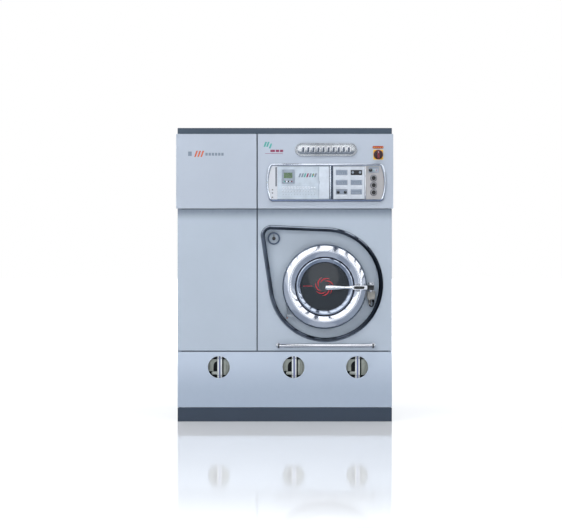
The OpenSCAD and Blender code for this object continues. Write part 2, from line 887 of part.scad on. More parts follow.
// The instrument panel: six windows with a label strip under each, five of them with a module
// and one with a plain field for the two knobs.
module instrument_panel() {
    color("#95a0b3") {
        difference() {
            block(
                [divider_x + 22, module_y, module_low], [strip_x - seat, base_y, module_high]
            );
            for (x = window_xs, z = window_zs)
                block([x, module_y - 1, z], [x + window_w, module_y + 3, z + window_h]);
            for (x = knob_xs) {
                rod_y(x, knob_z, knob_pin_r + shaft_clear, module_y + 2, base_y + 1, SMALL_FN);
            }
        }
        for (x = window_xs, z = window_zs)
            block([x + 6, module_y - 0.8, z - 11], [x + window_w - 6, module_y, z - 3]);
    }
    color("#3a3f46") {
        for (x = window_xs, z = window_zs) if (x != window_xs[0] || z != window_zs[2]) {
            block(
                [x + 2, module_y - 2, z + 2], [x + window_w - 2, module_y + 3, z + window_h - 2]
            );
        }
        for (dx = [13, 58]) rod_y(
            window_xs[1] + dx, window_zs[0] + window_h / 2, 7, module_y - 8, module_y - 2, SMALL_FN
        );
    }
}

// A round knob with a grip bar, in front of the face at y0, on a pin that runs into it.
module turn_knob(x, z, r, y0, h) {
    rod_y(x, z, r, y0 - h, y0 - seat, SMALL_FN);
    rod_y(x, z, knob_pin_r, y0 - h, y0 + knob_pin_in, SMALL_FN);
    block([x - 2, y0 - h - 4, z - r * 0.85], [x + 2, y0 - h + 1, z + r * 0.85]);
}

module instrument_knob_left() {
    color("#17191c") turn_knob(knob_xs[0], knob_z, 9, module_y + 3, 12);
}

module instrument_knob_right() {
    color("#17191c") turn_knob(knob_xs[1], knob_z, 9, module_y + 3, 12);
}

module selector_knob() {
    color("#17191c") turn_knob(selector_x, selector_z, selector_r, selector_floor, 13);
}

module cheek_left() {
    slot_x = panel_x - 311;
    color("#bcc4ce") difference() {
        plate(cheek_y, cheek_t) intersection() {
            bowed_2d(panel_rim + seat);
            translate([panel_x - 394, module_low - 24]) square([95 - seat, 250]);
        }
        block([slot_x, cheek_y - 1, panel_z - 23], [slot_x + 8, base_y - 1, panel_z + 95]);
    }
}

// The right cheek: a recess for the selector with a small window beside it, three collars for the
// push buttons and a screw.
module cheek_right() {
    left = strip_x + strip_w + seat;
    recess = [panel_x + 259, panel_z + 60];
    color("#aaa9a8") {
        difference() {
            union() {
                plate(cheek_y, cheek_t) intersection() {
                    bowed_2d(panel_rim + seat);
                    translate([left, module_low - 24]) square([150, 250]);
                }
                for (z = button_zs) rod_y(button_x, z, button_r + 4, cheek_y - collar_h, cheek_y);
                rod_y(button_x, panel_z - 97, 4, cheek_y - 1.5, cheek_y, BOLT_FN);
            }
            block(
                [recess[0], cheek_y - 1, recess[1]], [recess[0] + 64, selector_floor, recess[1] + 38]
            );
            for (z = button_zs)
                rod_y(button_x, z, button_r + button_clear, cheek_y - collar_h - 1, cheek_y);
            rod_y(
                selector_x, selector_z, knob_pin_r + shaft_clear, selector_floor - 1, base_y + 1,
                SMALL_FN
            );
        }
        block(
            [recess[0] + 27, selector_floor - 1, recess[1] + 9],
            [recess[0] + 56, selector_floor, recess[1] + 24]
        );
    }
}

// A push button in its collar, with its travel left free behind it.
module push_button(z) {
    color("#17191c") rod_y(
        button_x, z, button_r, cheek_y - collar_h - button_travel - 1,
        cheek_y - button_travel - seat
    );
}

module push_button_top() {
    push_button(button_zs[0]);
}

module push_button_middle() {
    push_button(button_zs[1]);
}

module push_button_bottom() {
    push_button(button_zs[2]);
}

// The oval plate's outline, drawn in by some distance.
module oval_2d(inset) {
    half = 190;
    r = plate_r;
    translate([plate_x - half + r, plate_z - r + inset])
        square([2 * (half - r), 2 * (r - inset)]);
    for (side = [-1, 1]) translate([plate_x + side * (half - r), plate_z])
        circle(r = r - inset);
}

// An oval plate with a raised rim and a raised plain field.
module nameplate() {
    color("#c8d0d9") {
        plate(fascia_front - 3, 3) oval_2d(0);
        plate(fascia_front - 8, 5) difference() {
            oval_2d(0);
            oval_2d(6);
        }
        plate(fascia_front - 5, 2) oval_2d(14);
    }
}

module isolator_plate() {
    y = fascia_front - 4;
    x = isolator_x;
    z = isolator_z;
    color("#e0b84a") difference() {
        union() {
            block([x - 31, y, z - 31], [x + 30, fascia_front, z + 30]);
            for (dx = [-26, 25], dz = [-26, 25])
                rod_y(x + dx, z + dz, 3, y - 1, y, BOLT_FN);
        }
        rod_y(x, z, 5 + shaft_clear, y - 1, fascia_front - 1, SMALL_FN);
    }
    color("#c8452e")
        block([x - 37, fascia_front - 2, z + 37], [x + 34, fascia_front, z + 53]);
}

module isolator_knob() {
    y = fascia_front - 4;
    color("#7d1f2d") {
        rod_y(isolator_x, isolator_z, 5, y - 1, y + 2.5, SMALL_FN);
        rod_y(isolator_x, isolator_z, isolator_r, y - 12, y - seat);
        block([isolator_x - 6, y - 26, isolator_z - 24], [isolator_x + 6, y - 12, isolator_z + 24]);
    }
}

// ---------------------------------------------------------------- drum and drive

module drum_housing() {
    ring_w = 8;
    color("#9aa3ad") {
        tube_y(door_x, door_z, housing_out_r, housing_r, housing_front, housing_back);
        tube_y(door_x, door_z, housing_out_r, mouth_r, housing_front, housing_front + housing_t);
        tube_y(door_x, door_z, housing_out_r, shaft_r + 10, housing_back - 8, housing_back);
        tube_y(door_x, door_z, mouth_r + mouth_t, mouth_r, mouth_front, housing_front + 1);
        for (y = [housing_front + 20, housing_back - 14])
            tube_y(door_x, door_z, housing_out_r + 3, housing_r + 1, y, y + ring_w);
    }
}

// Drain holes in rows along the basket's skin, clear of the lifters' feet.
module basket_holes() {
    margin = 50;
    pitch = (basket_l - 2 * margin) / (hole_rows - 1);
    for (row = [0:hole_rows - 1], i = [0:hole_columns - 1])
        translate([door_x, basket_front + margin + row * pitch, door_z])
            rotate([0, i * 360 / hole_columns + 90, 0])
            translate([0, 0, basket_r - 6])
            cylinder(r = hole_r, h = basket_t + 12, $fn = SMALL_FN);
}

module basket() {
    out_r = basket_r + basket_t;
    color("#c5cbd2") difference() {
        union() {
            difference() {
                tube_y(door_x, door_z, out_r, basket_r, basket_front, basket_back);
                basket_holes();
            }
            tube_y(
                door_x, door_z, out_r, mouth_r + 15, basket_front, basket_front + basket_t
            );
            for (y = [basket_front, basket_back - 12])
                tube_y(door_x, door_z, out_r + 4, basket_r + 1, y, y + 12);
            rod_y(door_x, door_z, out_r, basket_back - basket_plate_t, basket_back);
            rod_y(door_x, door_z, hub_r, basket_back - hub_h, basket_back);
            for (i = [0:lifter_count - 1]) translate([door_x, 0, door_z])
                rotate([0, i * 360 / lifter_count + 30, 0]) lifter();
        }
        rod_y(door_x, door_z, shaft_r, basket_back - basket_plate_t, basket_back + 1);
    }
}

module lifter() {
    foot = 48;
    crest = 14;
    plate(basket_front + basket_t, basket_l - basket_plate_t) intersection() {
        polygon([
            [basket_r - lifter_h, -crest], [basket_r - lifter_h, crest],
            [basket_r + 1, foot], [basket_r + 1, -foot]
        ]);
        circle(r = basket_r + 1);
    }
}

module basket_shaft() {
    y0 = basket_back - basket_plate_t;
    color("#8d949c") {
        rod_y(door_x, door_z, shaft_r, y0, shaft_end);
        tube_y(door_x, door_z, 110, shaft_r - 1, basket_back, basket_back + 8);
        bolts_y(door_x, door_z, 90, 8, 7, basket_back + 7, basket_back + 12);
    }
}

module bearing_housing() {
    flange_y = housing_back + 14;
    end_y = pulley_y - 12;
    color("#5d6670") difference() {
        union() {
            rod_y(door_x, door_z, 150, housing_back, flange_y);
            rod_y(door_x, door_z, 75, housing_back, end_y);
            rod_y(door_x, door_z, 84, end_y - 20, end_y);
            for (i = [0:5]) translate([door_x, 0, door_z]) rotate([0, i * 60, 0])
                translate([70, flange_y - 1, -5]) linear_extrude(height = 10)
                polygon([[0, 0], [68, 0], [68, 20], [5, 130], [0, 130]]);
            bolts_y(door_x, door_z, 130, 6, 9, flange_y, flange_y + 7);
        }
        rod_y(door_x, door_z, shaft_r + shaft_clear, housing_back - 1, pulley_y);
    }
}

// A belt pulley with a rim groove, a web with holes and a hub.
module belt_pulley(x, z, r, bore, wide, holes) {
    difference() {
        translate([x, pulley_y, z]) rotate([-90, 0, 0]) rotate_extrude() polygon([
            [bore, 0], [bore + 22, 0], [bore + 22, wide / 2 - 5], [r - 30, wide / 2 - 5],
            [r - 30, 8], [r, 8], [r - belt_t, wide / 2 - 10], [r - belt_t, wide / 2 + 10],
            [r, wide - 8], [r - 30, wide - 8], [r - 30, wide / 2 + 5],
            [bore + 22, wide / 2 + 5], [bore + 22, wide], [bore, wide]
        ]);
        if (holes > 0) for (i = [0:holes - 1]) {
            a = i * 360 / holes;
            rod_y(x + (r + bore) / 2 * cos(a), z + (r + bore) / 2 * sin(a), 38, pulley_y, pulley_y + wide);
        }
    }
}

module drum_pulley() {
    color("#4d555f") belt_pulley(door_x, door_z, pulley_r, shaft_r, pulley_w, 6);
}

module drive_belt() {
    y = pulley_y + pulley_w / 2 - 8;
    drum = [door_x, door_z];
    motor = [motor_x, motor_z];
    color("#1d1f22") plate(y, 16) difference() {
        strap_2d(drum, pulley_r, motor, motor_pulley_r);
        strap_2d(drum, pulley_r - belt_t + belt_gap, motor, motor_pulley_r - belt_t + belt_gap);
    }
}

module drum_motor() {
    y0 = motor_front;
    y1 = pulley_y - 14;
    fins = 28;
    color("#4f6a86") difference() {
        union() {
            rod_y(motor_x, motor_z, motor_r - 10, y0, y1);
            rod_y(motor_x, motor_z, motor_r + 5, y0 - 16, y0 + 36);
            rod_y(motor_x, motor_z, motor_r + 5, y1 - 22, y1);
            rod_y(motor_x, motor_z, 40, y1 - 1, y1 + 8);
            for (i = [0:fins - 1]) translate([motor_x, 0, motor_z])
                rotate([0, i * 360 / fins, 0])
                block([motor_r - 14, y0 + 30, -1.5], [motor_r + 4, y1 - 20, 1.5]);
            block(
                [motor_x - 48, y0 + 62, motor_z + motor_r - 20],
                [motor_x + 48, y0 + 142, motor_z + motor_r + 48]
            );
            block(
                [motor_x - 52, y0 + 58, motor_z + motor_r + 44],
                [motor_x + 52, y0 + 146, motor_z + motor_r + 52]
            );
            block([motor_x - 90, y0 + 40, cross_top], [motor_x + 90, y1 + 17, cross_top + 12]);
            block([motor_x - 60, y0 + 50, cross_top], [motor_x + 60, y1 - 30, motor_z]);
        }
        rod_y(motor_x, motor_z, motor_shaft_r + shaft_clear, y1 - 60, y1 + 9);
    }
}

module motor_pulley() {
    r = motor_pulley_r;
    color("#4d555f") {
        rod_y(motor_x, motor_z, motor_shaft_r, pulley_y - 60, pulley_y + pulley_w);
        translate([motor_x, pulley_y, motor_z]) rotate([-90, 0, 0]) rotate_extrude() polygon([
            [0, 0], [r - 20, 0], [r, 8], [r - belt_t, pulley_w / 2 - 10],
            [r - belt_t, pulley_w / 2 + 10], [r, pulley_w - 8], [r - 20, pulley_w],
            [0, pulley_w]
        ]);
    }
}

// ---------------------------------------------------------------- solvent circuit

// Three tanks side by side, each with a clean-out cover in front and a round lid on top.
module solvent_tanks() {
    cover_z = 140;
    cover_r = 70;
    lid_y = still_y;
    color("#8b96a2") for (e = tank_edges) {
        mid = (e[0] + e[1]) / 2;
        block([e[0], tank_front, tray_floor_t], [e[1], tank_back, tank_top]);
        rod_y(mid, cover_z, cover_r, tank_front - 8, tank_front);
        bolts_y(mid, cover_z, cover_r - 10, 8, 5, tank_front - 13, tank_front - 8);
        rod_z(mid, lid_y, 85, tank_top, tank_top + 8);
        rod_z(mid, lid_y, 12, tank_top + 8, tank_top + 24, SMALL_FN);
        for (y = [tank_front + 150, tank_back - 90])
            block([e[0] + 20, y, tank_top], [e[1] - 20, y + 6, tank_top + 5]);
    }
}

// A reflex level gauge on its tank: two pale bars with the glass between them, a guard plate with
// an arched opening on the left and ribs on the right, and a drain cock.
module level_gauge(x) {
    z = sight_z;
    y = gauge_front;
    glass_x = x + 4;
    arch = [x - 4, z + 5, 31];
    guard_y = y + 12;
    block([glass_x - 15, y, z - 90], [glass_x + 15, y + 14, z + 71]);
    rod_z(glass_x, y + 3, 4, z - 84, z + 65, SMALL_FN);
    for (dz = [-75, min(30, tank_top - 17 - z)])
        rod_y(glass_x, z + dz, 11, y + 5, tank_front, SMALL_FN);
    plate(guard_y, 4) difference() {
        translate([x - 66, z - 50]) square([138, 97]);
        translate([arch[0], arch[1]]) circle(r = arch[2]);
        translate([arch[0] - arch[2], z - 51]) square([2 * arch[2], arch[1] - z + 51]);
        translate([arch[0], z + 4]) square([arch[2], 44]);
        translate([x - 67, z - 51]) square([40, 24]);
    }
    for (rib = [[-58, 5, -27], [29, 14, -50], [50, 6, -50], [60, 9, -50]])
        block([x + rib[0], guard_y - 3, z + rib[2]], [x + rib[0] + rib[1], guard_y + 1, z + 47]);
    for (leg = [[-50, 20], [60, -15]])
        rod_y(x + leg[0], z + leg[1], 8, guard_y + 3, tank_front, SMALL_FN);
    rod_x(y + 10, z - 39, 11, x - 42, glass_x - 10, SMALL_FN);
    rod_x(y + 10, z - 39, 8, x - 46, x - 41, SMALL_FN);
}

module level_gauges() {
    color("#d8dde4") for (x = sight_xs) level_gauge(x);
}

// The trap that catches buttons and pins: a vessel with a bolted lid, fed from the drum housing.
module button_trap() {
    top = cross_top - 36;
    feed_y = housing_back - 30;
    feed_z = top + 9;
    color("#7f8a96") {
        rod_z(door_x, trap_y, 88, 150, top);
        rod_z(door_x, trap_y, 100, top - 14, top - 2);
        for (a = [45:90:315]) {
            leg = 70;
            rod_z(
                door_x + leg * cos(a), trap_y + leg * sin(a), 10, tray_floor_t, 160, SMALL_FN
            );
        }
        for (i = [0:7]) rod_z(
            door_x + 94 * cos(i * 45), trap_y + 94 * sin(i * 45), 4, top - 18, top + 4, BOLT_FN
        );
        rod_y(door_x, feed_z, 20, feed_y - 21, trap_y, SMALL_FN);
        rod_z(door_x, trap_y, 30, top - 2, top + 20, SMALL_FN);
        rod_z(door_x, feed_y, 15, feed_z, door_z - housing_out_r - seat, SMALL_FN);
    }
}

// The still on two beams, with a steam jacket, a manhole in front, a domed top and its condenser.
module still() {
    r = still_r;
    low = cross_top + 44;
    high = low + 400;
    step = r * 0.6;
    ball_r = r * 5 / 3;
    cond_r = 72;
    cond_z = high + 190;
    door_low = low + 150;
    color("#a9b0b8") {
        rod_z(still_x, still_y, r, low, high);
        rod_z(still_x, still_y, r + 8, low + 6, low + 110);
        rod_z(still_x, still_y, min(r + 16, still_x - still_left + 20), high - 20, high);
        translate([still_x, still_y, high]) intersection() {
            translate([0, 0, -r * 4 / 3]) sphere(r = ball_r);
            cylinder(r = r, h = 80);
        }
        rod_y(still_x, door_low, 75, still_y - r - 18, still_y, $fn);
        rod_y(still_x, door_low, 92, still_y - r - 28, still_y - r - 16);
        bolts_y(still_x, door_low, 84, 8, 6, still_y - r - 34, still_y - r - 28);
        rod_z(still_x, still_y, 40, high, cond_z);
        rod_y(still_x, cond_z, cond_r, still_y - 170, still_y + 170);
        for (y = [still_y - 172, still_y + 160])
            rod_y(still_x, cond_z, cond_r + 13, y, y + 12);
        for (side = [-1, 1]) {
            block(
                [still_x + side * step - 20, cross_ys[0] - 20, cross_top],
                [still_x + side * step + 20, cross_ys[1] + 20, cross_top + 20]
            );
            for (leg = [-1, 1]) rod_z(
                still_x + side * step, still_y + leg * step, 16, cross_top + 19, low + 5, SMALL_FN
            );
        }
    }
}

// The solvent filter: a vessel with a clamped lid, and its return pipe to the drum housing.
module filter_housing() {
    low = cross_top + 44;
    lid_z = low + 600;
    top = low + 640;
    out_z = door_z + 72;
    bend_x = door_x - housing_out_r - 47;
    entry_y = housing_back - 45;
    clamps = 10;
    color("#a9b0b8") {
        translate([filter_x, filter_y, 0]) rotate([0, 0, 100]) {
            rod_z(0, 0, filter_r, low, top);
            rod_z(0, 0, filter_r * 2 / 3, cross_top + 10, low + 1);
        }
        rod_z(filter_x, filter_y, filter_r + 12, lid_z, lid_z + 16);
        for (i = [0:clamps - 1]) rod_z(
            filter_x + (filter_r + 2) * cos((i + 0.5) * 360 / clamps),
            filter_y + (filter_r + 2) * sin((i + 0.5) * 360 / clamps),
            8, lid_z - 20, lid_z + 34, BOLT_FN
        );
        rod_z(filter_x, filter_y, 24, top - 1, top + 22, SMALL_FN);
        block(
            [filter_x - 110, filter_y - 25, cross_top],
            [filter_x + 110, filter_y + 25, cross_top + 12]
        );
        difference() {
            pipe([
                [filter_x + filter_r - 10, filter_y, out_z], [bend_x, filter_y, out_z],
                [bend_x, entry_y, out_z], [door_x - housing_out_r + 40, entry_y, out_z]
            ], pipe_r);
            rod_y(door_x, door_z, housing_out_r + seat, entry_y - 20, entry_y + 20);
        }
    }
}

// The drying fan's casing, its inlet ring and its motor; it blows down into the drum housing.
module fan_housing() {
    wall = 4;
    half = 80;
    eye_r = 90;
    face_y = fan_y - half;
    motor_end = fan_y + 280;
    color("#98a2ad") difference() {
        union() {
            rod_y(fan_x, fan_z, fan_r, face_y, fan_y + half);
            block(
                [fan_x, face_y, door_z + housing_out_r - 60],
                [fan_x + fan_r, fan_y + half, fan_z]
            );
            rod_y(fan_x, fan_z, eye_r + 14, face_y - 12, face_y + wall);
            bolts_y(fan_x, fan_z, fan_r - 14, 8, 5, face_y - 5, face_y + 1);
            rod_y(fan_x, fan_z, eye_r - 8, fan_y + half - 1, motor_end);
            for (i = [0:19]) translate([fan_x, 0, fan_z]) rotate([0, i * 18, 0])
                block([eye_r - 12, fan_y + half + 20, -1.5], [eye_r, motor_end - 50, 1.5]);
            rod_y(fan_x, fan_z, eye_r + 3, motor_end - 52, motor_end);
        }
        rod_y(fan_x, fan_z, fan_r - wall, face_y + wall, fan_y + half - wall);
        block(
            [fan_x + fan_r - 90, face_y + wall, door_z + housing_out_r - 200],
            [fan_x + fan_r - wall, fan_y + half - wall, fan_z]
        );
        rod_y(fan_x, fan_z, eye_r, face_y - 13, face_y + wall + 1);
        rod_y(
            fan_x, fan_z, motor_shaft_r + shaft_clear, fan_y + half - wall - 1, fan_y + 200
        );
        rod_y(door_x, door_z, housing_out_r + seat, face_y - 13, fan_y + half + 1);
    }
}

// A squirrel-cage wheel: a disc and a ring joined by blades.
module fan_impeller() {
    blades = 18;
    r = fan_r - 30;
    color("#707a85") {
        rod_y(fan_x, fan_z, motor_shaft_r, fan_y - 20, fan_y + 180);
        rod_y(fan_x, fan_z, 34, fan_y + 30, fan_y + 57, SMALL_FN);
        rod_y(fan_x, fan_z, r, fan_y + 56, fan_y + 60);
        tube_y(fan_x, fan_z, r, r - 50, fan_y - 60, fan_y - 57);
        for (i = [0:blades - 1]) translate([fan_x, 0, fan_z]) rotate([0, i * 360 / blades, 0])
            block([r - 48, fan_y - 58, -1.5], [r - 2, fan_y + 57, 1.5]);
    }
}

// The air duct with the cooler: up from the drum housing and across to the fan.
module cooler_duct() {
    wall = 4;
    high = cap_z - 83;
    x1 = min(duct_x + 280, tube_in - 25);
    y0 = housing_front + 105;
    y1 = housing_back - 15;
    low = door_z + housing_out_r - 138;
    cross_z = [fan_z - 140, fan_z - 20];
    color("#a3adb8") difference() {
        union() {
            block([duct_x, y0, low], [x1, y1, high]);
            block(
                [fan_x + fan_r + seat, fan_y - 60, cross_z[0]], [duct_x + 1, fan_y + 60, cross_z[1]]
            );
            for (z = [door_z + housing_out_r + 104, fan_z + 20])
                block([duct_x - 5, y0 - 5, z], [x1 + 5, y1 + 5, z + 24]);
            for (z = [fan_z + 90, fan_z + 130], x = [duct_x + 60, x1 - 60])
                rod_y(x, z, 16, y1 - 1, y1 + 40, SMALL_FN);
        }
        block([duct_x + wall, y0 + wall, low - 1], [x1 - wall, y1 - wall, high - wall]);
        rod_y(door_x, door_z, housing_out_r + seat, y0 - 6, y1 + 6);
    }
}

// The solvent pump: it draws from the middle tank and delivers to the filter's underside.
module solvent_pump() {
    inlet_x = pump_x + 90;
    out_x = pump_x - 25;
    rise_z = 300;
    rise_x = filter_x + filter_r * 0.36;
    color("#4f6a86") {
        block([pump_x - 200, pump_y - 70, tray_floor_t], [pump_x, pump_y + 70, 24]);
        block([pump_x - 180, pump_y - 30, 23], [pump_x - 70, pump_y + 30, pump_z]);
        rod_x(pump_y, pump_z, 56, pump_x - 190, pump_x - 40);
        rod_x(pump_y, pump_z, 64, pump_x - 206, pump_x - 160);
        rod_x(pump_y, pump_z, 74, pump_x - 50, pump_x);
        rod_x(pump_y, pump_z, 34, pump_x - 1, pump_x + 10);
        rod_z(out_x, pump_y, 30, pump_z + 60, pump_z + 84, SMALL_FN);
        pipe([
            [pump_x + 5, pump_y, pump_z], [inlet_x, pump_y, pump_z],
            [inlet_x, tank_back + seat, pump_z]
        ], pipe_r);
        pipe([
            [out_x, pump_y, pump_z + 60], [out_x, pump_y, rise_z], [rise_x, pump_y, rise_z],
            [rise_x, pump_y, cross_top + 10 - seat]
        ], pipe_r);
    }
}

module service_stubs() {
    tip = back + 32;
    color("#b08d4f") for (i = [0:2]) {
        s = service[i];
        rod_y(s[0], s[1], s[2], back - fold_d - 30, tip, SMALL_FN);
        rod_y(s[0], s[1], s[2] + 7, back, back + 6, SMALL_FN);
    }
    g = service[3];
    color("#2a2d31") difference() {
        union() {
            rod_y(g[0], g[1], g[2], back - fold_d, back + 30, SMALL_FN);
            rod_y(g[0], g[1], g[2] + 8, back, back + 12, 6);
        }
        rod_y(g[0], g[1], 11, back - fold_d - 1, back + 31, SMALL_FN);
    }
}

safety_tray();
plinth();
frame_posts();
frame_rails();
side_panels();
back_panel();
top_cap();
fascia_left();
fascia_right();
panel_left();
panel_right();
panel_lower();
recess_pan();
recess_trim();
chrome_rail();
door_ring();
door_glass();
door_gasket();
hinge_arm();
hinge_bracket();
latch_bracket();
latch_lever();
latch_keeper();
door_switch();
switch_cable();
dial_gauge();
dial_pointer();
control_bezel();
keypad_panel();
display_module();
instrument_panel();
instrument_knob_left();
instrument_knob_right();
cheek_left();
cheek_right();
push_button_top();
push_button_middle();
push_button_bottom();
selector_knob();
nameplate();
isolator_plate();
isolator_knob();
drum_housing();
basket();
basket_shaft();
drum_pulley();
bearing_housing();
drive_belt();
drum_motor();
motor_pulley();
solvent_tanks();
level_gauges();
button_trap();
still();
filter_housing();
fan_housing();
fan_impeller();
cooler_duct();
solvent_pump();
service_stubs();
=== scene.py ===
"""Looks for the dry cleaning machine: materials, fine pieces, floor, light and camera.

Metres, in the part's own frame: +Z up, the front faces -Y, the origin is on the floor.
"""

import math

import bmesh
import bpy
from mathutils import Matrix, Vector


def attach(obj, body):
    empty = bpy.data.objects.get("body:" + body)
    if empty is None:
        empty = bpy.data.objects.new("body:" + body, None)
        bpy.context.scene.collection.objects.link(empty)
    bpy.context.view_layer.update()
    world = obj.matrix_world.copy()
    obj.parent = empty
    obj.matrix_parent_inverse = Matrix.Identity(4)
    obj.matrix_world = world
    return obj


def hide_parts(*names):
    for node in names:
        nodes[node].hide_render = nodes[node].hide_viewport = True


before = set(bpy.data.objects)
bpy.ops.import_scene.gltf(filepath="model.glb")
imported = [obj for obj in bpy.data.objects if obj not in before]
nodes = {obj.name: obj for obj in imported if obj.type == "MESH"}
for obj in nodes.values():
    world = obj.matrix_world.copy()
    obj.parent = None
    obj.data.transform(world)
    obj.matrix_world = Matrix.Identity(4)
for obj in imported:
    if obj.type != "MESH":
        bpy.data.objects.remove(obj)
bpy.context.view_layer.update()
scene = bpy.context.scene

# Levels along Y: faces of the panels, the control panel's layers, the recess and the door.
FRONT = -0.6
FASCIA = -0.612
BASE = -0.615
CHEEK = -0.619
MODULE = -0.621
DISPLAY = -0.627
RECESS = -0.548
RING_BACK = -0.596
LATCH_Y = -0.662
BACK = 0.6
SIDE_X = 0.657

# Places seen from the front, as (x, z).
DOOR = (0.245, 0.828)
DIAL = (-0.067, 1.123)
TEAR = (0.252, 0.839, 0.352)
LOBE = (-0.084, 1.141, 0.064)
PANEL = (0.254, 1.464)
PLATE = (0.253, 1.666)
ISOLATOR = (0.573, 1.636)
GAUGES_X = (-0.404, 0.054, 0.444)
GAUGE_Z = 0.333
LEVER_Z = 0.822
BUTTONS = {"top": (0.544, 1.492), "middle": (0.544, 1.448), "bottom": (0.544, 1.404)}
TRIM_W = 0.027


# ---- materials

def srgb(text):
    """The linear colour of a #rrggbb text."""
    parts = [int(text[i:i + 2], 16) / 255 for i in (1, 3, 5)]
    return [c / 12.92 if c <= 0.04045 else ((c + 0.055) / 1.055) ** 2.4 for c in parts] + [1]


def shade(colour, factor):
    """A colour made darker or lighter."""
    return [min(1, c * factor) for c in colour[:3]] + [1]


class Tree:
    """A node tree, with short ways to add and join its nodes."""

    def __init__(self, tree):
        self.tree = tree

    def put(self, socket, value):
        if isinstance(value, bpy.types.NodeSocket):
            self.tree.links.new(value, socket)
        else:
            socket.default_value = value

    def add(self, kind, inputs=None, **settings):
        """A new shader node; a value of its inputs may be a number or another node's output."""
        made = self.tree.nodes.new("ShaderNode" + kind)
        for key, value in settings.items():
            setattr(made, key, value)
        for key, value in (inputs or {}).items():
            self.put(made.inputs[key], value)
        return made

    def mix(self, factor, first, second):
        made = self.add("Mix", {0: factor}, data_type="RGBA")
        self.put(made.inputs[6], first)
        self.put(made.inputs[7], second)
        return made.outputs[2]

    def reckon(self, operation, *values):
        return self.add("Math", dict(enumerate(values)), operation=operation).outputs[0]

    def ramp(self, value, low, high, first=0.0, second=1.0, kind="SMOOTHSTEP"):
        """Goes from one number to another while a value runs from low to high."""
        return self.add("MapRange", {
            "Value": value, "From Min": low, "From Max": high, "To Min": first, "To Max": second,
        }, interpolation_type=kind).outputs[0]


class Surface(Tree):
    """A node material that is built up from noise fields in object coordinates."""

    def __init__(self, name, colour):
        self.colour = srgb(colour)
        self.material = bpy.data.materials.new(name)
        self.material.use_nodes = True
        super().__init__(self.material.node_tree)
        self.bsdf = self.tree.nodes["Principled BSDF"]
        self.coords = self.add("TexCoord").outputs["Object"]
        self.normal = None

    def noise(self, scale, detail, stretch=(1, 1, 1), rough=0.5):
        vector = self.coords
        if stretch != (1, 1, 1):
            vector = self.add("Mapping", {"Vector": vector, "Scale": stretch}).outputs[0]
        return self.add("TexNoise", {
            "Vector": vector, "Scale": scale, "Detail": detail, "Roughness": rough,
        }).outputs["Fac"]

    def polar(self, x, z):
        """Distance from an axis along Y."""
        moved = self.add("VectorMath", {0: self.coords, 1: (x, 0, z)}, operation="SUBTRACT")
        flat = self.add("VectorMath", {0: moved.outputs[0], 1: (1, 0, 1)}, operation="MULTIPLY")
        return self.add("VectorMath", {0: flat.outputs[0]}, operation="LENGTH").outputs["Value"]

    def spread(self, field, low=0.0, high=1.0):
        """A noise field's usual range, stretched from low to high."""
        return self.ramp(field, 0.3, 0.7, low, high, "LINEAR")

    def shades(self, field, dark, light=1.0):
        """The surface's colour, going between two shades of itself with a noise field."""
        return self.mix(self.spread(field), shade(self.colour, dark), shade(self.colour, light))

    def faded(self, colour, axis, start, end, other):
        """Goes over from one colour to another between two places on an axis."""
        split = self.add("SeparateXYZ", {0: self.coords})
        return self.mix(self.ramp(split.outputs[axis], start, end), colour, other)

    def set(self, **values):
        for key, value in values.items():
            self.put(self.bsdf.inputs[key.replace("_", " ")], value)

    def edge(self, radius):
        """Soft light along the edges, as on a folded or moulded corner."""
        self.normal = self.add("Bevel", {"Radius": radius}, samples=4).outputs[0]

    def bump(self, field, strength, distance):
        inputs = {"Height": field, "Strength": strength, "Distance": distance}
        if self.normal:
            inputs["Normal"] = self.normal
        self.normal = self.add("Bump", inputs).outputs[0]

    def done(self):
        if self.normal:
            self.set(Normal=self.normal)
        return self.material


def painted(name, colour, rough=0.38, edge=0.0015, vary=0.035, coat=0.15, painted_shade=None):
    """Stoved paint: slight cloudiness, orange peel and handled spots."""
    s = Surface(name, colour)
    cloud = s.shades(s.noise(2.2, 4), 1 - vary, 1 + vary)
    # Painted shade, where asked for: the colour goes over to a darker one between two places on an axis.
    if painted_shade:
        cloud = s.faded(cloud, *painted_shade[:3], srgb(painted_shade[3]))
    spots = s.spread(s.noise(35, 5, rough=0.7), 0, 0.18)
    s.set(Base_Color=s.mix(spots, cloud, shade(s.colour, 0.9)))
    s.set(Roughness=s.spread(s.noise(9, 4), rough - 0.05, rough + 0.07))
    s.set(Coat_Weight=coat, Coat_Roughness=0.22)
    s.edge(edge)
    s.bump(s.noise(420, 2), 0.12, 0.0004)
    s.bump(s.noise(3.5, 2), 0.1, 0.004)
    return s.done()


def chromed(name, colour, rough=0.06, painted_shade=None, cloud=0.93):
    """Bright plating with faint wiping marks and a slight waviness."""
    s = Surface(name, colour)
    tone = s.shades(s.noise(9, 4), cloud)
    # Painted reflection, where asked for: the plating goes over to a darker colour between two places on
    # an axis.
    s.set(Base_Color=s.faded(tone, *painted_shade[:3], srgb(painted_shade[3])) if painted_shade else tone, Metallic=1.0)
    s.set(Roughness=s.spread(s.noise(60, 5, (1, 1, 3), 0.65), rough * 0.6, rough * 2.1))
    s.edge(0.0006)
    s.bump(s.noise(22, 2), 0.1, 0.0006)
    return s.done()


def brushed(name, colour, rough=0.3, stretch=(1, 1, 90), metal=1.0):
    """Drawn steel sheet: fine lines one way."""
    s = Surface(name, colour)
    lines = s.noise(45, 3, stretch, 0.7)
    s.set(Base_Color=s.shades(lines, 0.86, 1.06), Metallic=metal)
    s.set(Roughness=s.spread(s.noise(20, 4, stretch), rough - 0.07, rough + 0.1), Anisotropic=0.4)
    s.edge(0.0008)
    s.bump(lines, 0.18, 0.0002)
    return s.done()


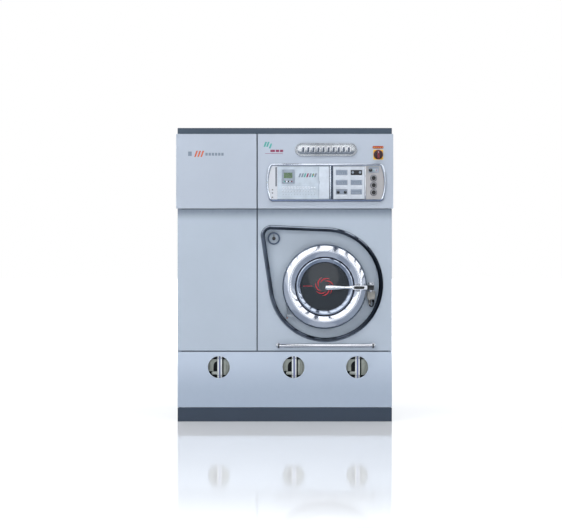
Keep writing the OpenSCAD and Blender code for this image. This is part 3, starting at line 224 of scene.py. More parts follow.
def turned(name, colour, centre, rough=0.09):
    """Lathe-turned and polished metal: fine rings round an axis along Y."""
    s = Surface(name, colour)
    radius = s.polar(*centre)
    rings = s.add("TexNoise", {"W": radius, "Scale": 900, "Detail": 2}, noise_dimensions="1D")
    s.set(Base_Color=s.shades(s.noise(16, 3), 0.94), Metallic=1.0)
    s.set(Roughness=s.spread(s.noise(30, 4), rough * 0.7, rough * 1.5))
    s.bump(rings.outputs["Fac"], 0.1, 0.0001)
    return s.done()


def moulded(name, colour, rough=0.4, grain=0.1, coat=0.0):
    """Moulded plastic with a fine spark-eroded grain."""
    s = Surface(name, colour)
    s.set(Base_Color=s.shades(s.noise(25, 4), 0.9, 1.06))
    s.set(Roughness=s.spread(s.noise(130, 3), rough - 0.06, rough + 0.08))
    s.set(Coat_Weight=coat, Coat_Roughness=0.08)
    s.edge(0.0008)
    s.bump(s.noise(900, 2), grain, 0.0002)
    return s.done()


def cast(name, colour):
    """Painted casting: coarse skin under the paint."""
    s = Surface(name, colour)
    s.set(Base_Color=s.shades(s.noise(30, 5), 0.82, 1.1))
    s.set(Roughness=s.spread(s.noise(50, 3), 0.4, 0.6))
    s.edge(0.0015)
    s.bump(s.noise(240, 4, rough=0.7), 0.35, 0.0008)
    return s.done()


def rubber(name, colour):
    s = Surface(name, colour)
    s.set(Base_Color=s.shades(s.noise(40, 4), 0.8, 1.3))
    s.set(Roughness=s.spread(s.noise(70, 3), 0.5, 0.7), Specular_IOR_Level=0.3)
    s.bump(s.noise(600, 3), 0.3, 0.0003)
    return s.done()


def glazed(name, colour, rough, transmission):
    """Glass with a tint and a trace of haze."""
    s = Surface(name, colour)
    s.set(Base_Color=s.shades(s.noise(12, 3), 0.95))
    s.set(Roughness=s.spread(s.noise(40, 4), rough * 0.5, rough * 1.8))
    s.set(Transmission_Weight=transmission, IOR=1.45)
    s.bump(s.noise(6, 2), 0.02, 0.001)
    return s.done()


# Painted shadow: the upper panels go darker at the top, under the fascia's overhang.
PANEL_PAINT = painted("panel_paint", "#b1bcc9", painted_shade=(2, 1.225, 1.302, "#707c8b"))
FASCIA_PAINT = painted("fascia_paint", "#b2bbc8")
SIDE_PAINT = painted("side_paint", "#a9b4c2")
# Painted shade: the lower panel is lighter just below its top and goes darker towards the bottom.
LOWER_PAINT = painted("lower_paint", "#bcc8d8", painted_shade=(2, 0.43, 0.16, "#a4b1c2"))
RECESS_PAINT = painted("recess_paint", "#b4bfcb", rough=0.42, edge=0.002)
CAP_PAINT = painted("cap_paint", "#344352", rough=0.45, vary=0.06)
PLINTH_PAINT = painted("plinth_paint", "#273546", rough=0.42, vary=0.08)
FRAME_PAINT = painted("frame_paint", "#6f7b88", rough=0.5)
CHROME = chromed("chrome", "#c8cacf")
# Painted reflection: the trim's chrome goes over to near black towards the right, for the dark reflection
# on that side.
CHROME_TRIM = chromed("chrome_trim", "#868d97", 0.05, painted_shade=(0, 0.4, 0.56, "#1c222b"))
# Painted reflection: a dark copy of the trim's chrome for the inner part of the bead, darker still towards
# the right.
CHROME_SHADED = chromed("chrome_shaded", "#525b69", 0.07, painted_shade=(0, 0.3, 0.56, "#181d25"), cloud=0.25)
# Painted reflection: the bezel's chrome goes darker blue-grey along the bottom of the rim.
BEZEL_CHROME = chromed("bezel_chrome", "#d8dee7", 0.05, painted_shade=(2, 1.37, 1.356, "#6c7890"), cloud=0.75)
PLATE_CHROME = chromed("plate_chrome", "#b8bcc0", 0.1, cloud=0.7)
BEZEL_DARK = chromed("bezel_dark", "#525c6c", 0.1)
LINER_METAL = chromed("liner_metal", "#aab3c2", 0.07)
LEVER_CHROME = chromed("lever_chrome", "#f2f4f8", 0.12)
RING_METAL = turned("ring_metal", "#d9dde6", DOOR)
DIAL_METAL = turned("dial_metal", "#7f8a9b", DIAL, 0.1)
STEEL = brushed("steel", "#aeb4bb")
SHAFT_STEEL = brushed("shaft_steel", "#9aa1a9", 0.25)
CHEEK_STEEL = brushed("cheek_steel", "#aeacad", 0.4, metal=0.5)
CHEEK_PALE = brushed("cheek_pale", "#cfd2d8", 0.42, metal=0.4)
DRUM_STEEL = brushed("drum_steel", "#a6abb2", 0.33, (1, 60, 1))
GALVANISED = brushed("galvanised", "#8b949d", 0.45, (1, 1, 1))
CAST_GREY = cast("cast_grey", "#59626c")
MOTOR_BLUE = cast("motor_blue", "#3f5a78")
BLACK = moulded("black_plastic", "#15171a", 0.45, 0.25)
BLACK_GLOSS = moulded("black_gloss", "#090b10", 0.2, 0.05, coat=0.1)
GREY_PLASTIC = moulded("grey_plastic", "#98a3b1", 0.5, 0.25)
WINDOW_GREY = moulded("window_grey", "#8f9aab", 0.5, 0.25)
FOIL = moulded("keypad_foil", "#bfcad5", 0.34, 0.15, coat=0.2)
FLAP_FOIL = moulded("flap_foil", "#cad3de", 0.34, 0.15, coat=0.2)
LABEL = moulded("label_white", "#c8cfd9")
KEY_WHITE = moulded("key_white", "#dbe1ea", 0.35, 0.1)
KEY_SHADE = moulded("key_shade", "#aab5c5")
TEAL = moulded("teal", "#4fa39b")
CRIMSON = moulded("crimson", "#8a2f52")
AMBER = moulded("amber", "#d9b154")
ORANGE = moulded("orange", "#d0643a")
SLATE = moulded("slate", "#7c8897")
FIELD_GREY = moulded("field_grey", "#4d5765")
YELLOW = moulded("isolator_yellow", "#e9bb2f")
SIGNAL_RED = moulded("signal_red", "#aa2a1c", 0.35, 0.1)
KNOB_RED = moulded("knob_red", "#7c2430", 0.3, 0.08)
# Painted shade: a near-black copy of the knob's red, for the disc beside the lit grip.
KNOB_RED_SHADED = moulded("knob_red_shaded", "#2a0a12", 0.3, 0.08)
LCD = moulded("lcd", "#5f7a5a", 0.25, 0.05, coat=0.5)
LCD_INK = moulded("lcd_ink", "#3c5040", 0.3, 0.05)
DECAL_RED = moulded("decal_red", "#c0202e", 0.35, 0.05)
SWITCH_GREY = moulded("switch_grey", "#9b9994", 0.5, 0.25)
GAUGE_WHITE = moulded("gauge_white", "#f6f9ff", 0.3, 0.05, coat=0.4)
GAUGE_BLUE = moulded("gauge_blue", "#7480bd", 0.3, 0.05)
GAUGE_GREY = cast("gauge_grey", "#aab0a8")
# Painted shade: the tanks are near black, so that the sight holes in front of them look dark.
TANK_SHADE = painted("tank_painted_shade", "#171c22", rough=0.6, coat=0.0)
# Painted highlight: a lighter copy of the lower panel's paint for the lips of the sight holes.
LIP_HIGHLIGHT = painted("lip_painted_highlight", "#ccd7e6")
DIAL_FACE = moulded("dial_face", "#9ca7b3", 0.35, 0.05)
RUBBER = rubber("rubber", "#0c0d10")
BRASS = chromed("brass", "#b5924e", 0.22)
COPPER = chromed("copper", "#a0705a", 0.3)
DOOR_GLASS = glazed("door_glass", "#4d565f", 0.015, 0.72)


# ---- pieces

def add_object(name, data):
    made = bpy.data.objects.new(name, data)
    scene.collection.objects.link(made)
    return made


def add_mesh(name, bm, material):
    """An object made of a bmesh, which is used up."""
    mesh = bpy.data.meshes.new(name)
    bm.to_mesh(mesh)
    bm.free()
    mesh.materials.append(material)
    return add_object(name, mesh)


def finish_piece(name, bm, material, body="cabinet", stands_for=(), slot=None, sharp=32):
    """Turns a bmesh into a piece that rides on a body and may stand for CAD nodes."""
    bmesh.ops.remove_doubles(bm, verts=bm.verts, dist=1e-6)
    bmesh.ops.recalc_face_normals(bm, faces=bm.faces)
    limit = math.radians(sharp)
    for e in bm.edges:
        e.smooth = len(e.link_faces) == 2 and e.calc_face_angle(0) < limit
    for f in bm.faces:
        f.smooth = True
    piece = add_mesh(name, bm, material)
    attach(piece, body)
    if stands_for:
        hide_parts(*stands_for)


def join(bm, rows):
    """Faces between successive closed rows of vertices."""
    count = len(rows[0])
    for a, b in zip(rows, rows[1:]):
        for i in range(count):
            j = (i + 1) % count
            bm.faces.new((a[i], a[j], b[j], b[i]))


def skin(bm, loops, caps=True):
    """Joins successive loops of points with faces."""
    rows = [[bm.verts.new(p) for p in loop] for loop in loops]
    join(bm, rows)
    if caps:
        bm.faces.new(rows[0][::-1])
        bm.faces.new(rows[-1])


# For each axis, two directions across it and then its own.
AXES = {
    "front": (Vector((1, 0, 0)), Vector((0, 0, 1)), Vector((0, -1, 0))),
    "right": (Vector((0, 1, 0)), Vector((0, 0, 1)), Vector((1, 0, 0))),
    "up": (Vector((1, 0, 0)), Vector((0, 1, 0)), Vector((0, 0, 1))),
}


def lathe_into(bm, centre, profile, axis="front", steps=96):
    """A profile of (radius, distance along the axis), turned round it; it closes on itself."""
    u, v, w = AXES[axis]
    c = Vector(centre)
    rows = []
    for r, d in profile:
        rows.append([
            bm.verts.new(c + w * d + (u * math.cos(a) + v * math.sin(a)) * max(r, 1e-5))
            for a in (i * math.tau / steps for i in range(steps))
        ])
    join(bm, rows + [rows[0]])


def lathe(name, material, centre, profile, axis="front", steps=96, **rest):
    bm = bmesh.new()
    lathe_into(bm, centre, profile, axis, steps)
    finish_piece(name, bm, material, **rest)


def turns(start, stop, step):
    """Angles in radians at whole degrees, the last one included."""
    return [math.radians(a) for a in range(start, stop + (1 if step > 0 else -1), step)]


def dome(r):
    """The profile of a ball end, from its tip to its full radius."""
    return [(r * math.sin(a), r * (1 - math.cos(a))) for a in turns(0, 90, 15)]


def arc(cx, cy, r, start, end, count):
    """Points on an arc, angles in degrees."""
    return [
        (cx + r * math.cos(math.radians(a)), cy + r * math.sin(math.radians(a)))
        for a in (start + (end - start) * i / (count - 1) for i in range(count))
    ]


def rect(x0, z0, x1, z1, r):
    """An outline function: a rectangle with round corners, drawn in by an inset."""
    def outline(inset):
        q = max(r - inset, 0.0002)
        a, b, c, d = x0 + inset + q, z0 + inset + q, x1 - inset - q, z1 - inset - q
        corners = [(c, d, 0), (a, d, 90), (a, b, 180), (c, b, 270)]
        return [p for x, z, t in corners for p in arc(x, z, q, t, t + 90, 6)]
    return outline


def disc(x, z, r, steps=48):
    def outline(inset):
        return arc(x, z, r - inset, 0, 360 - 360 / steps, steps)
    return outline


def stadium(x, z, half, r):
    def outline(inset):
        return (arc(x + half - r, z, r - inset, -90, 90, 24)
                + arc(x - half + r, z, r - inset, 90, 270, 24))
    return outline


def tear(inset):
    """The teardrop round the door."""
    run = Vector((LOBE[0] - TEAR[0], LOBE[1] - TEAR[1]))
    lean = math.degrees(math.atan2(run.y, run.x))
    spread = math.degrees(math.acos((TEAR[2] - LOBE[2]) / run.length))
    big = arc(TEAR[0], TEAR[1], TEAR[2] - inset, lean + spread, lean + 360 - spread, 150)
    small = arc(LOBE[0], LOBE[1], LOBE[2] - inset, lean - spread, lean + spread, 40)
    points = big + small
    filled = []
    for a, b in zip(points, points[1:] + points[:1]):
        gap = math.dist(a, b)
        count = 16 if gap > 0.1 else 1
        step = ((b[0] - a[0]) / count, (b[1] - a[1]) / count)
        filled += [(a[0] + step[0] * i, a[1] + step[1] * i) for i in range(count)]
    return filled


def bowed(inset):
    """The control bezel: straight top and bottom, ends that bow outwards."""
    half_x, half_z, bow, corner = 0.347 - inset, 0.116 - inset, 0.02, max(0.016 - inset, 0.004)
    r = half_z * half_z / (2 * bow) + bow / 2
    cx = half_x + bow - r
    reach = math.degrees(math.asin((half_z - corner) / r))
    right = [(PANEL[0] + cx + r * math.cos(math.radians(a)), PANEL[1] + r * math.sin(math.radians(a)))
             for a in (-reach + 2 * reach * i / 24 for i in range(25))]
    edge_x = PANEL[0] + half_x - corner * 0.3
    right.append((edge_x, PANEL[1] + half_z - corner * 0.35))
    right.append((edge_x - corner * 0.7, PANEL[1] + half_z))
    left = [(2 * PANEL[0] - x, z) for x, z in reversed(right)]
    lower = [(edge_x - corner * 0.7, PANEL[1] - half_z), (edge_x, PANEL[1] - half_z + corner * 0.35)]
    left += [(2 * PANEL[0] - x, z) for x, z in reversed(lower)]
    return right + left + lower


def section_into(bm, outline, section, caps=True):
    """Loops of an outline at each (inset, y) of a section."""
    skin(bm, [[(x, y, z) for x, z in outline(inset)] for inset, y in section], caps=caps)


def rim(name, material, outline, section, **rest):
    """A frame of some section round an outline; the section closes on itself."""
    bm = bmesh.new()
    section_into(bm, outline, section + [section[0]], caps=False)
    finish_piece(name, bm, material, **rest)


def tile_into(bm, outline, back, front, soft):
    """A plate with softened front edges."""
    section_into(bm, outline, [
        (0, back), (0, front + soft), (soft * 0.3, front + soft * 0.3), (soft, front),
    ])


def tile(name, material, outline, back, front, soft, **rest):
    """A piece of one such plate or of several."""
    bm = bmesh.new()
    for one in outline if isinstance(outline, list) else [outline]:
        tile_into(bm, one, back, front, soft)
    finish_piece(name, bm, material, **rest)


def cube_into(bm, low, high, soft):
    """A box between two corners, with softened edges."""
    made = bmesh.ops.create_cube(bm, size=1)["verts"]
    low, high = Vector(low), Vector(high)
    bmesh.ops.transform(bm, verts=made, matrix=Matrix.Translation((low + high) / 2)
                        @ Matrix.Diagonal((*(high - low), 1)))
    edges = list({e for v in made for e in v.link_edges})
    bmesh.ops.bevel(bm, geom=edges, offset=soft, segments=2, affect="EDGES")


def block(name, material, boxes, soft, **rest):
    bm = bmesh.new()
    for low, high in boxes:
        cube_into(bm, low, high, soft)
    finish_piece(name, bm, material, **rest)


def screws(name, places, r, level, axis="front", way=1):
    """Round-headed screws with a socket, standing on a face at some level along an axis."""
    bm = bmesh.new()
    for a, b in places:
        centre = (a, level, b) if axis == "front" else (level, a, b)
        lathe_into(bm, centre, [
            (0, 0), (r, 0), (r, way * 0.3 * r), (r * 0.8, way * 0.55 * r),
            (r * 0.35, way * 0.65 * r), (r * 0.3, way * 0.4 * r), (0, way * 0.4 * r),
        ], axis, 20)
    finish_piece(name, bm, STEEL)


PRINT = 0.0002


def print_into(bm, outline, y, thick=PRINT):
    """A printed mark: an outline of (x, z) points, standing on the face at y."""
    skin(bm, [[(x, y, z) for x, z in outline], [(x, y - thick, z) for x, z in outline]])


def dashes(name, material, rows, y, body="cabinet"):
    """Small printed bars, each (x0, z0, x1, z1), with no lettering."""
    bm = bmesh.new()
    for x0, z0, x1, z1 in rows:
        cube_into(bm, (x0, y - PRINT, z0), (x1, y, z1), 0.00004)
    finish_piece(name, bm, material, body)


def slashes(name, material, places, high, wide, y):
    """Slanted printed bars, each at the (x, z) of its foot."""
    bm = bmesh.new()
    lean = high * 0.35
    for x, z in places:
        print_into(bm, [(x, z), (x + wide, z), (x + wide + lean, z + high), (x + lean, z + high)], y)
    finish_piece(name, bm, material)


def knurled(name, body, x, z, r, y, high):
    """A plastic knob: fluted skirt, domed cap and a grip bar."""
    bm = bmesh.new()
    steps = 22 * 4
    loops = []
    for size, d, flute in ((1, 0, 0.04), (1, 0.55, 0.04), (0.93, 0.68, 0), (0.86, 0.72, 0)):
        radii = [r * size * (1 - flute * (i % 4 < 2)) for i in range(steps)]
        loops.append([
            (x + q * math.cos(i * math.tau / steps), y - d * high, z + q * math.sin(i * math.tau / steps))
            for i, q in enumerate(radii)])
    skin(bm, loops)
    bar_x, bar_z = r * 0.2, r * 0.84
    cube_into(bm, (x - bar_x, y - high, z - bar_z), (x + bar_x, y - high * 0.7, z + bar_z), r * 0.07)
    finish_piece(name, bm, BLACK, body)


# ---- carried-over solids

NODE_MATERIALS = (
    (PLINTH_PAINT, "safety_tray plinth"),
    (FRAME_PAINT, "frame_posts frame_rails"),
    (SIDE_PAINT, "side_panels back_panel"),
    (CAP_PAINT, "top_cap"),
    (FASCIA_PAINT, "fascia_left fascia_right"),
    (PANEL_PAINT, "panel_left panel_right"),
    (LOWER_PAINT, "panel_lower"),
    (RECESS_PAINT, "recess_pan"),
    (CHROME_TRIM, "recess_trim"),
    (CHROME, "chrome_rail latch_bracket latch_keeper control_bezel nameplate"),
    (RING_METAL, "door_ring"),
    (DOOR_GLASS, "door_glass"),
    (RUBBER, "door_gasket switch_cable drive_belt"),
    (STEEL, "hinge_arm hinge_bracket button_trap still filter_housing"),
    (LEVER_CHROME, "latch_lever"),
    (SWITCH_GREY, "door_switch"),
    (DIAL_METAL, "dial_gauge"),
    (BLACK, "dial_pointer instrument_knob_left instrument_knob_right selector_knob"),
    (FOIL, "keypad_panel"),
    (GREY_PLASTIC, "display_module"),
    (LABEL, "instrument_panel"),
    (CHEEK_PALE, "cheek_left"),
    (CHEEK_STEEL, "cheek_right"),
    (BLACK_GLOSS, "push_button_top push_button_middle push_button_bottom"),
    (YELLOW, "isolator_plate"),
    (KNOB_RED, "isolator_knob"),
    (GALVANISED, "drum_housing fan_housing cooler_duct"),
    (DRUM_STEEL, "basket"),
    (SHAFT_STEEL, "basket_shaft fan_impeller"),
    (CAST_GREY, "drum_pulley bearing_housing motor_pulley"),
    (MOTOR_BLUE, "drum_motor solvent_pump"),
    (TANK_SHADE, "solvent_tanks"),
    (GAUGE_GREY, "level_gauges"),
    (BRASS, "service_stubs"),
)
for node_material, names in NODE_MATERIALS:
    for node_name in names.split():
        nodes[node_name].data.materials.clear()
        nodes[node_name].data.materials.append(node_material)


# ---- recess, trim and rail

RAIL = Vector((-0.05, FRONT - 0.04, 0.466))
RAIL_R = 0.013
RAIL_LENGTH = 0.602
RAIL_FEET_X = (-0.037, 0.539)


def bead(start, end):
    """Part of the trim's half-round section, from the outer edge inwards, closed along its base."""
    half = TRIM_W / 2
    points = [(half - x, FRONT - y) for x, y in arc(0, 0, half, start, end, (end - start) // 12 + 1)]
    return [(points[0][0], FRONT)] + points + [(points[-1][0], FRONT)]


def make_trim():
    # The bead is one chrome in two copies, a bright outer part and a dark inner part: painted light and
    # shade of its reflections.
    rim("trim_bead", CHROME_TRIM, tear, bead(0, 72), stands_for=["recess_trim"], slot="chrome_trim")
    rim("trim_inner", CHROME_SHADED, tear, bead(72, 180), slot="chrome_trim")


def make_rail():
    bm = bmesh.new()
    end = dome(RAIL_R)
    lathe_into(bm, RAIL, end + [(r, RAIL_LENGTH - d) for r, d in reversed(end)], "right", 40)
    for x in RAIL_FEET_X:
        lathe_into(bm, (x, RAIL.y, RAIL.z), [
            (0, 0), (0.008, 0), (0.008, -0.036), (0.017, -0.0365), (0.017, -0.0385), (0.015, -0.04),
            (0, -0.04)], "front", 32)
    finish_piece("rail_bar", bm, CHROME, stands_for=["chrome_rail"], slot="chrome_trim")
    bm = bmesh.new()
    for x in RAIL_FEET_X:
        lathe_into(bm, (x - 0.004, RAIL.y, RAIL.z), [
            (0.0132, 0), (0.014, 0.001), (0.014, 0.007), (0.0132, 0.008)], "right", 40)
    finish_piece("rail_clamps", bm, BLACK)


make_trim()
make_rail()


# ---- loading door

LINER_R = 0.1765


def make_ring():
    """The polished ring, its liner down to the pane, and the dark seal in the groove between them."""
    place = (DOOR[0], RING_BACK, DOOR[1])
    bulge_r, bulge_half, bulge_foot, bulge_high = 0.217, 0.036, 0.0225, 0.0165
    ring = [(0.256, 0), (0.26, 0.003), (0.26, 0.014), (0.2585, 0.018), (0.255, 0.0205)]
    ring += [(bulge_r + bulge_half * math.sin(a), bulge_foot + bulge_high * math.cos(a))
             for a in turns(84, -84, -6)]
    ring += [(0.18, 0.021), (LINER_R, 0.021), (LINER_R, 0)]
    lathe("door_ring_turned", RING_METAL, place, ring, steps=192, body="loading_door",
          stands_for=["door_ring"], slot="door_metal", sharp=50)
    liner = [(LINER_R, 0), (LINER_R, 0.0205), (0.1745, 0.027), (0.172, 0.0295), (0.169, 0.03)]
    liner += arc(0.169, 0.005, 0.025, 90, 165, 9)[1:]
    liner += [(0.147, 0.0095), (0.164, 0.0095), (0.164, 0)]
    lathe("door_liner", LINER_METAL, place, liner, steps=192, body="loading_door",
          slot="door_metal", sharp=50)
    seal = [(0, 0.02), (0.0005, 0.0225), (0.003, 0.0235), (0.0055, 0.0225), (0.006, 0.02)]
    rim("ring_seal", RUBBER, disc(*DOOR, 0.1815, 144), [(inset, RING_BACK - high) for inset, high in seal],
        body="loading_door")


def make_pane_mark():
    """A plain swirl of arcs and a level line, printed on the pane."""
    bm = bmesh.new()
    y = RING_BACK - 0.0102
    middle_x = DOOR[0] - 0.003
    blades, turn, steps = 7, 84, 12
    for i in range(blades):
        edges = ([], [])
        for k in range(steps + 1):
            a = math.radians(i * 360 / blades + turn * k / steps)
            half = 0.0003 + 0.0031 * math.sin(math.pi * k / steps)
            for edge, way in zip(edges, (1, -1)):
                r = 0.058 - 0.026 * k / steps + way * half
                edge.append((middle_x + r * math.cos(a), DOOR[1] + r * math.sin(a)))
        print_into(bm, edges[0] + edges[1][::-1], y)
    cube_into(bm, (0.113, y - PRINT, 0.8295), (0.168, y, 0.8325), 0.00005)
    finish_piece("pane_mark", bm, DECAL_RED, "loading_door")


make_ring()
make_pane_mark()


# ---- latch, switch and hinge details

CATCH_X = 0.524


def make_lever():
    bm = bmesh.new()
    grip = dome(0.0145) + [
        (0.0146, 0.03), (0.0138, 0.055), (0.0112, 0.085), (0.0085, 0.11), (0.007, 0.128),
        (0.007, 0.152), (0.0095, 0.1525), (0.0098, 0.16), (0.0095, 0.168), (0, 0.168)]
    lathe_into(bm, (0.244, LATCH_Y, LEVER_Z), grip, "right", 48)
    cube_into(bm, (0.412, LATCH_Y - 0.007, LEVER_Z - 0.012),
              (0.5027, LATCH_Y + 0.007, LEVER_Z + 0.012), 0.0025)
    finish_piece("lever_grip", bm, LEVER_CHROME, "latch_lever", ["latch_lever"], "lever_metal")
    # A black plate on the grip's front where its slot is: painted shade in the slot.
    tile("lever_slot_shade", BLACK, rect(0.421, LEVER_Z - 0.0085, 0.486, LEVER_Z + 0.0085, 0.0075),
         LATCH_Y - 0.0065, LATCH_Y - 0.0073, 0.0002, body="latch_lever")


def make_catch():
    """Two arms with ball ends on a foot plate, and the roller on its pin between them."""
    bm = bmesh.new()
    plate_y = RECESS - 0.005
    left = CATCH_X - 0.008
    low, high = LEVER_Z - 0.023, LEVER_Z + 0.032
    ball = [(0.007 * math.sin(a), 0.007 * math.cos(a)) for a in turns(180, 0, -15)]
    for way in (-1, 1):
        z = LEVER_Z + way * 0.017
        cube_into(bm, (left, LATCH_Y - 0.008, z - 0.003), (CATCH_X + 0.008, plate_y, z + 0.003), 0.001)
        lathe_into(bm, (CATCH_X, LATCH_Y, LEVER_Z + way * 0.023), ball, "up", 24)
    cube_into(bm, (left, plate_y, low), (0.552, RECESS, high), 0.001)
    lathe_into(bm, (CATCH_X, LATCH_Y, low), [(0, 0), (0.005, 0), (0.005, 0.046), (0, 0.046)], "up", 24)
    finish_piece("keeper_frame", bm, CHROME, stands_for=["latch_keeper"], slot="chrome_trim")
    lathe("catch_roller", BLACK, (CATCH_X, LATCH_Y, LEVER_Z - 0.014), [
        (0, 0), (0.0185, 0), (0.021, 0.0025), (0.021, 0.011), (0.0202, 0.0125), (0.0202, 0.0155),
        (0.021, 0.017), (0.021, 0.0255), (0.0185, 0.028), (0, 0.028)], "up", 48)
    screws("keeper_screws", [(0.542, low + 0.005), (0.542, high - 0.005)], 0.004, plate_y)


def make_switch():
    left, right, low, high = 0.5078, 0.5542, 0.7498, 0.7972
    block("switch_seam", BLACK, [((left, RECESS - 0.013, low), (right, RECESS - 0.012, high))], 0.0002)
    corners = [(x, z) for x in (left + 0.0072, right - 0.0072) for z in (low + 0.0072, high - 0.0072)]
    screws("switch_screws", corners, 0.0032, RECESS - 0.042)
    bm = bmesh.new()
    for z, r in ((0.7385, 0.0094), (0.7335, 0.008), (0.7275, 0.0076)):
        lathe_into(bm, (0.522, RECESS - 0.02, z), [
            (0.004, 0), (r, 0.0004), (r, 0.003), (0.004, 0.0034)], "up", 20)
    finish_piece("switch_gland", bm, BLACK)


def make_hinge_details():
    hinge_x = 0.015
    lathe("hinge_tip", COPPER, (hinge_x, FRONT + 0.017, 0.6292), [
        (0, 0), (0.0035, 0), (0.0052, 0.0016), (0.0052, 0.01), (0, 0.01)], "up", 24)
    screws("hinge_screws", [(hinge_x, 0.72), (hinge_x, 0.936)], 0.0035, FRONT + 0.0085)


make_lever()
make_catch()
make_switch()
make_hinge_details()


# ---- sides and back

def make_panel_screws():
    levels = [0.13 + i * 0.4 for i in range(5)]
    places = [(y, z) for y in (-0.56, 0.0, 0.56) for z in (levels[0], levels[-1])]
    places += [(y, z) for y in (-0.56, 0.56) for z in levels[1:-1]]
    for side, way in (("left", -1), ("right", 1)):
        screws("side_screws_" + side, places, 0.005, way * SIDE_X, "right", way)
    places = [(x, z) for x in (-0.635, 0.635) for z in levels]
    places += [(x, z) for x in (-0.32, 0.0, 0.32) for z in (levels[0], levels[-1] + 0.015)]
    screws("back_screws", places, 0.0055, BACK, way=-1)


make_panel_screws()


# ---- dial

def make_dial():
    face_y = RECESS - 0.01225
    lathe("dial_ring", DIAL_METAL, (DIAL[0], RECESS, DIAL[1]), [
        (0, 0), (0.0385, 0), (0.0385, 0.013), (0.0375, 0.016), (0.0355, 0.0185), (0.0335, 0.0198),
        (0.0315, 0.0198), (0.03, 0.0175), (0.0295, 0.012), (0.0031, 0.012), (0.0031, 0.006), (0, 0.006),
    ], stands_for=["dial_gauge"], slot="chrome_trim")
    tile("dial_face", DIAL_FACE, disc(*DIAL, 0.029), RECESS - 0.0118, face_y, 0.0001)
    bm = bmesh.new()
    steps, reach, tick_r, half = 20, 135, 0.0278, 0.0004
    for i in range(steps + 1):
        a = math.radians(-reach + 2 * reach * i / steps)
        out = Vector((math.sin(a), math.cos(a)))
        across = Vector((out.y, -out.x)) * half
        outer = Vector(DIAL) + out * tick_r
        inner = outer - out * (0.006 if i % 5 == 0 else 0.0035)
        print_into(bm, [outer + across, outer - across, inner - across, inner + across], face_y, 0.0001)
    finish_piece("dial_ticks", bm, BLACK)
    cap = [(0, 0), (0.0107, 0), (0.0107, 0.0006), (0.0088, 0.001), (0, 0.001)]
    lathe("dial_cap", BLACK_GLOSS, (DIAL[0], RECESS - 0.0174, DIAL[1]), cap, steps=40, body="dial_pointer")


make_dial()


# ---- control panel

MODULE_LOW, MODULE_HIGH = 1.3622, 1.5658
KEY_X, KEY_PITCH, KEY_COUNT, LONG_KEYS = -0.009, 0.0174, 12, 10
KEY_ROWS_Z = (1.433, 1.4125, 1.392)


def make_bezel():
    section = [(0, 0), (0, 0.0095), (0.0012, 0.0122), (0.0035, 0.0136), (0.0065, 0.014), (0.0095, 0.0136),
               (0.012, 0.0122), (0.0135, 0.0095), (0.014, 0.004), (0.014, 0)]
    rim("bezel_rim", BEZEL_CHROME, bowed, [(inset, FASCIA - high) for inset, high in section],
        stands_for=["control_bezel"], slot="chrome_trim")
    bm = bmesh.new()
    section_into(bm, bowed, [(0.013, FASCIA), (0.013, BASE)])
    finish_piece("bezel_floor", bm, BLACK, sharp=20)
    # The left divider is one chrome in two halves, bright on the left and dark on the right: painted light
    # and shade. The slim one is plain chrome.
    for which, material, left, right, high, soft in (
        ("wide", BEZEL_CHROME, 0.2742, 0.2838, 0.012, 0.003),
        ("step", BEZEL_DARK, 0.2838, 0.2938, 0.0115, 0.002),
        ("slim", CHROME, 0.4894, 0.4982, 0.01, 0.002),
    ):
        tile("bezel_divider_" + which, material, rect(left, MODULE_LOW, right, MODULE_HIGH, 0.001),
             BASE, FASCIA - high, soft)


def make_keys():
    """Three rows of keys: raised in the upper two, printed in the lowest, with a slanted mark on each."""
    upper, middle, marks = bmesh.new(), bmesh.new(), bmesh.new()
    front = MODULE - 0.0014
    for i in range(KEY_COUNT):
        x = KEY_X + i * KEY_PITCH
        half = 0.0068 if i < LONG_KEYS else 0.004
        for row, z in zip((upper, middle), KEY_ROWS_Z):
            tile_into(row, rect(x - 0.0056, z - half, x + 0.0056, z + half, 0.0012), MODULE, front, 0.0004)
        for z, high in zip(KEY_ROWS_Z, (0.0042, 0.0042, 0.003)):
            if i < LONG_KEYS or z == KEY_ROWS_Z[-1]:
                print_into(marks, [(x - 0.0038, z - high), (x - 0.0012, z - high), (x + 0.0038, z + high),
                                   (x + 0.0012, z + high)], front - 0.00005, 0.0001)
    finish_piece("keys_upper", upper, KEY_WHITE)
    finish_piece("keys_middle", middle, LABEL)
    finish_piece("key_marks", marks, SLATE)


def make_keypad_prints():
    """Bars in place of the photo's lettering, the ruled lines and the flap with its seam."""
    def places(*which):
        return [(0.083 + i * 0.016, 1.497) for i in which]
    slashes("panel_marks_grey", SLATE, places(0, 1, 4, 6), 0.024, 0.0105, MODULE)
    slashes("panel_marks_teal", TEAL, places(2, 5), 0.024, 0.009, MODULE)
    slashes("panel_marks_crimson", CRIMSON, places(3), 0.024, 0.009, MODULE)
    slashes("panel_marks_amber", AMBER, [(0.17, 1.507)], 0.01, 0.008, MODULE)
    dashes("keypad_rules", KEY_SHADE, [
        (-0.042, 1.4455, 0.2, 1.4465), (-0.042, 1.422, 0.2, 1.4228), (-0.042, 1.401, 0.2, 1.4018),
        (-0.042, 1.379, 0.2, 1.3798), (0.076, 1.46, 0.198, 1.4608),
    ], MODULE)
    flap_front = MODULE - 0.0006
    dashes("flap_seam", KEY_SHADE, [(0.2072, 1.3665, 0.2092, 1.5615)], MODULE)
    tile("flap", FLAP_FOIL, rect(0.2095, 1.3665, 0.27, 1.5615, 0.002), MODULE, flap_front, 0.0003)
    dashes("flap_notch", SLATE, [(0.212, 1.455, 0.2135, 1.475)], flap_front)


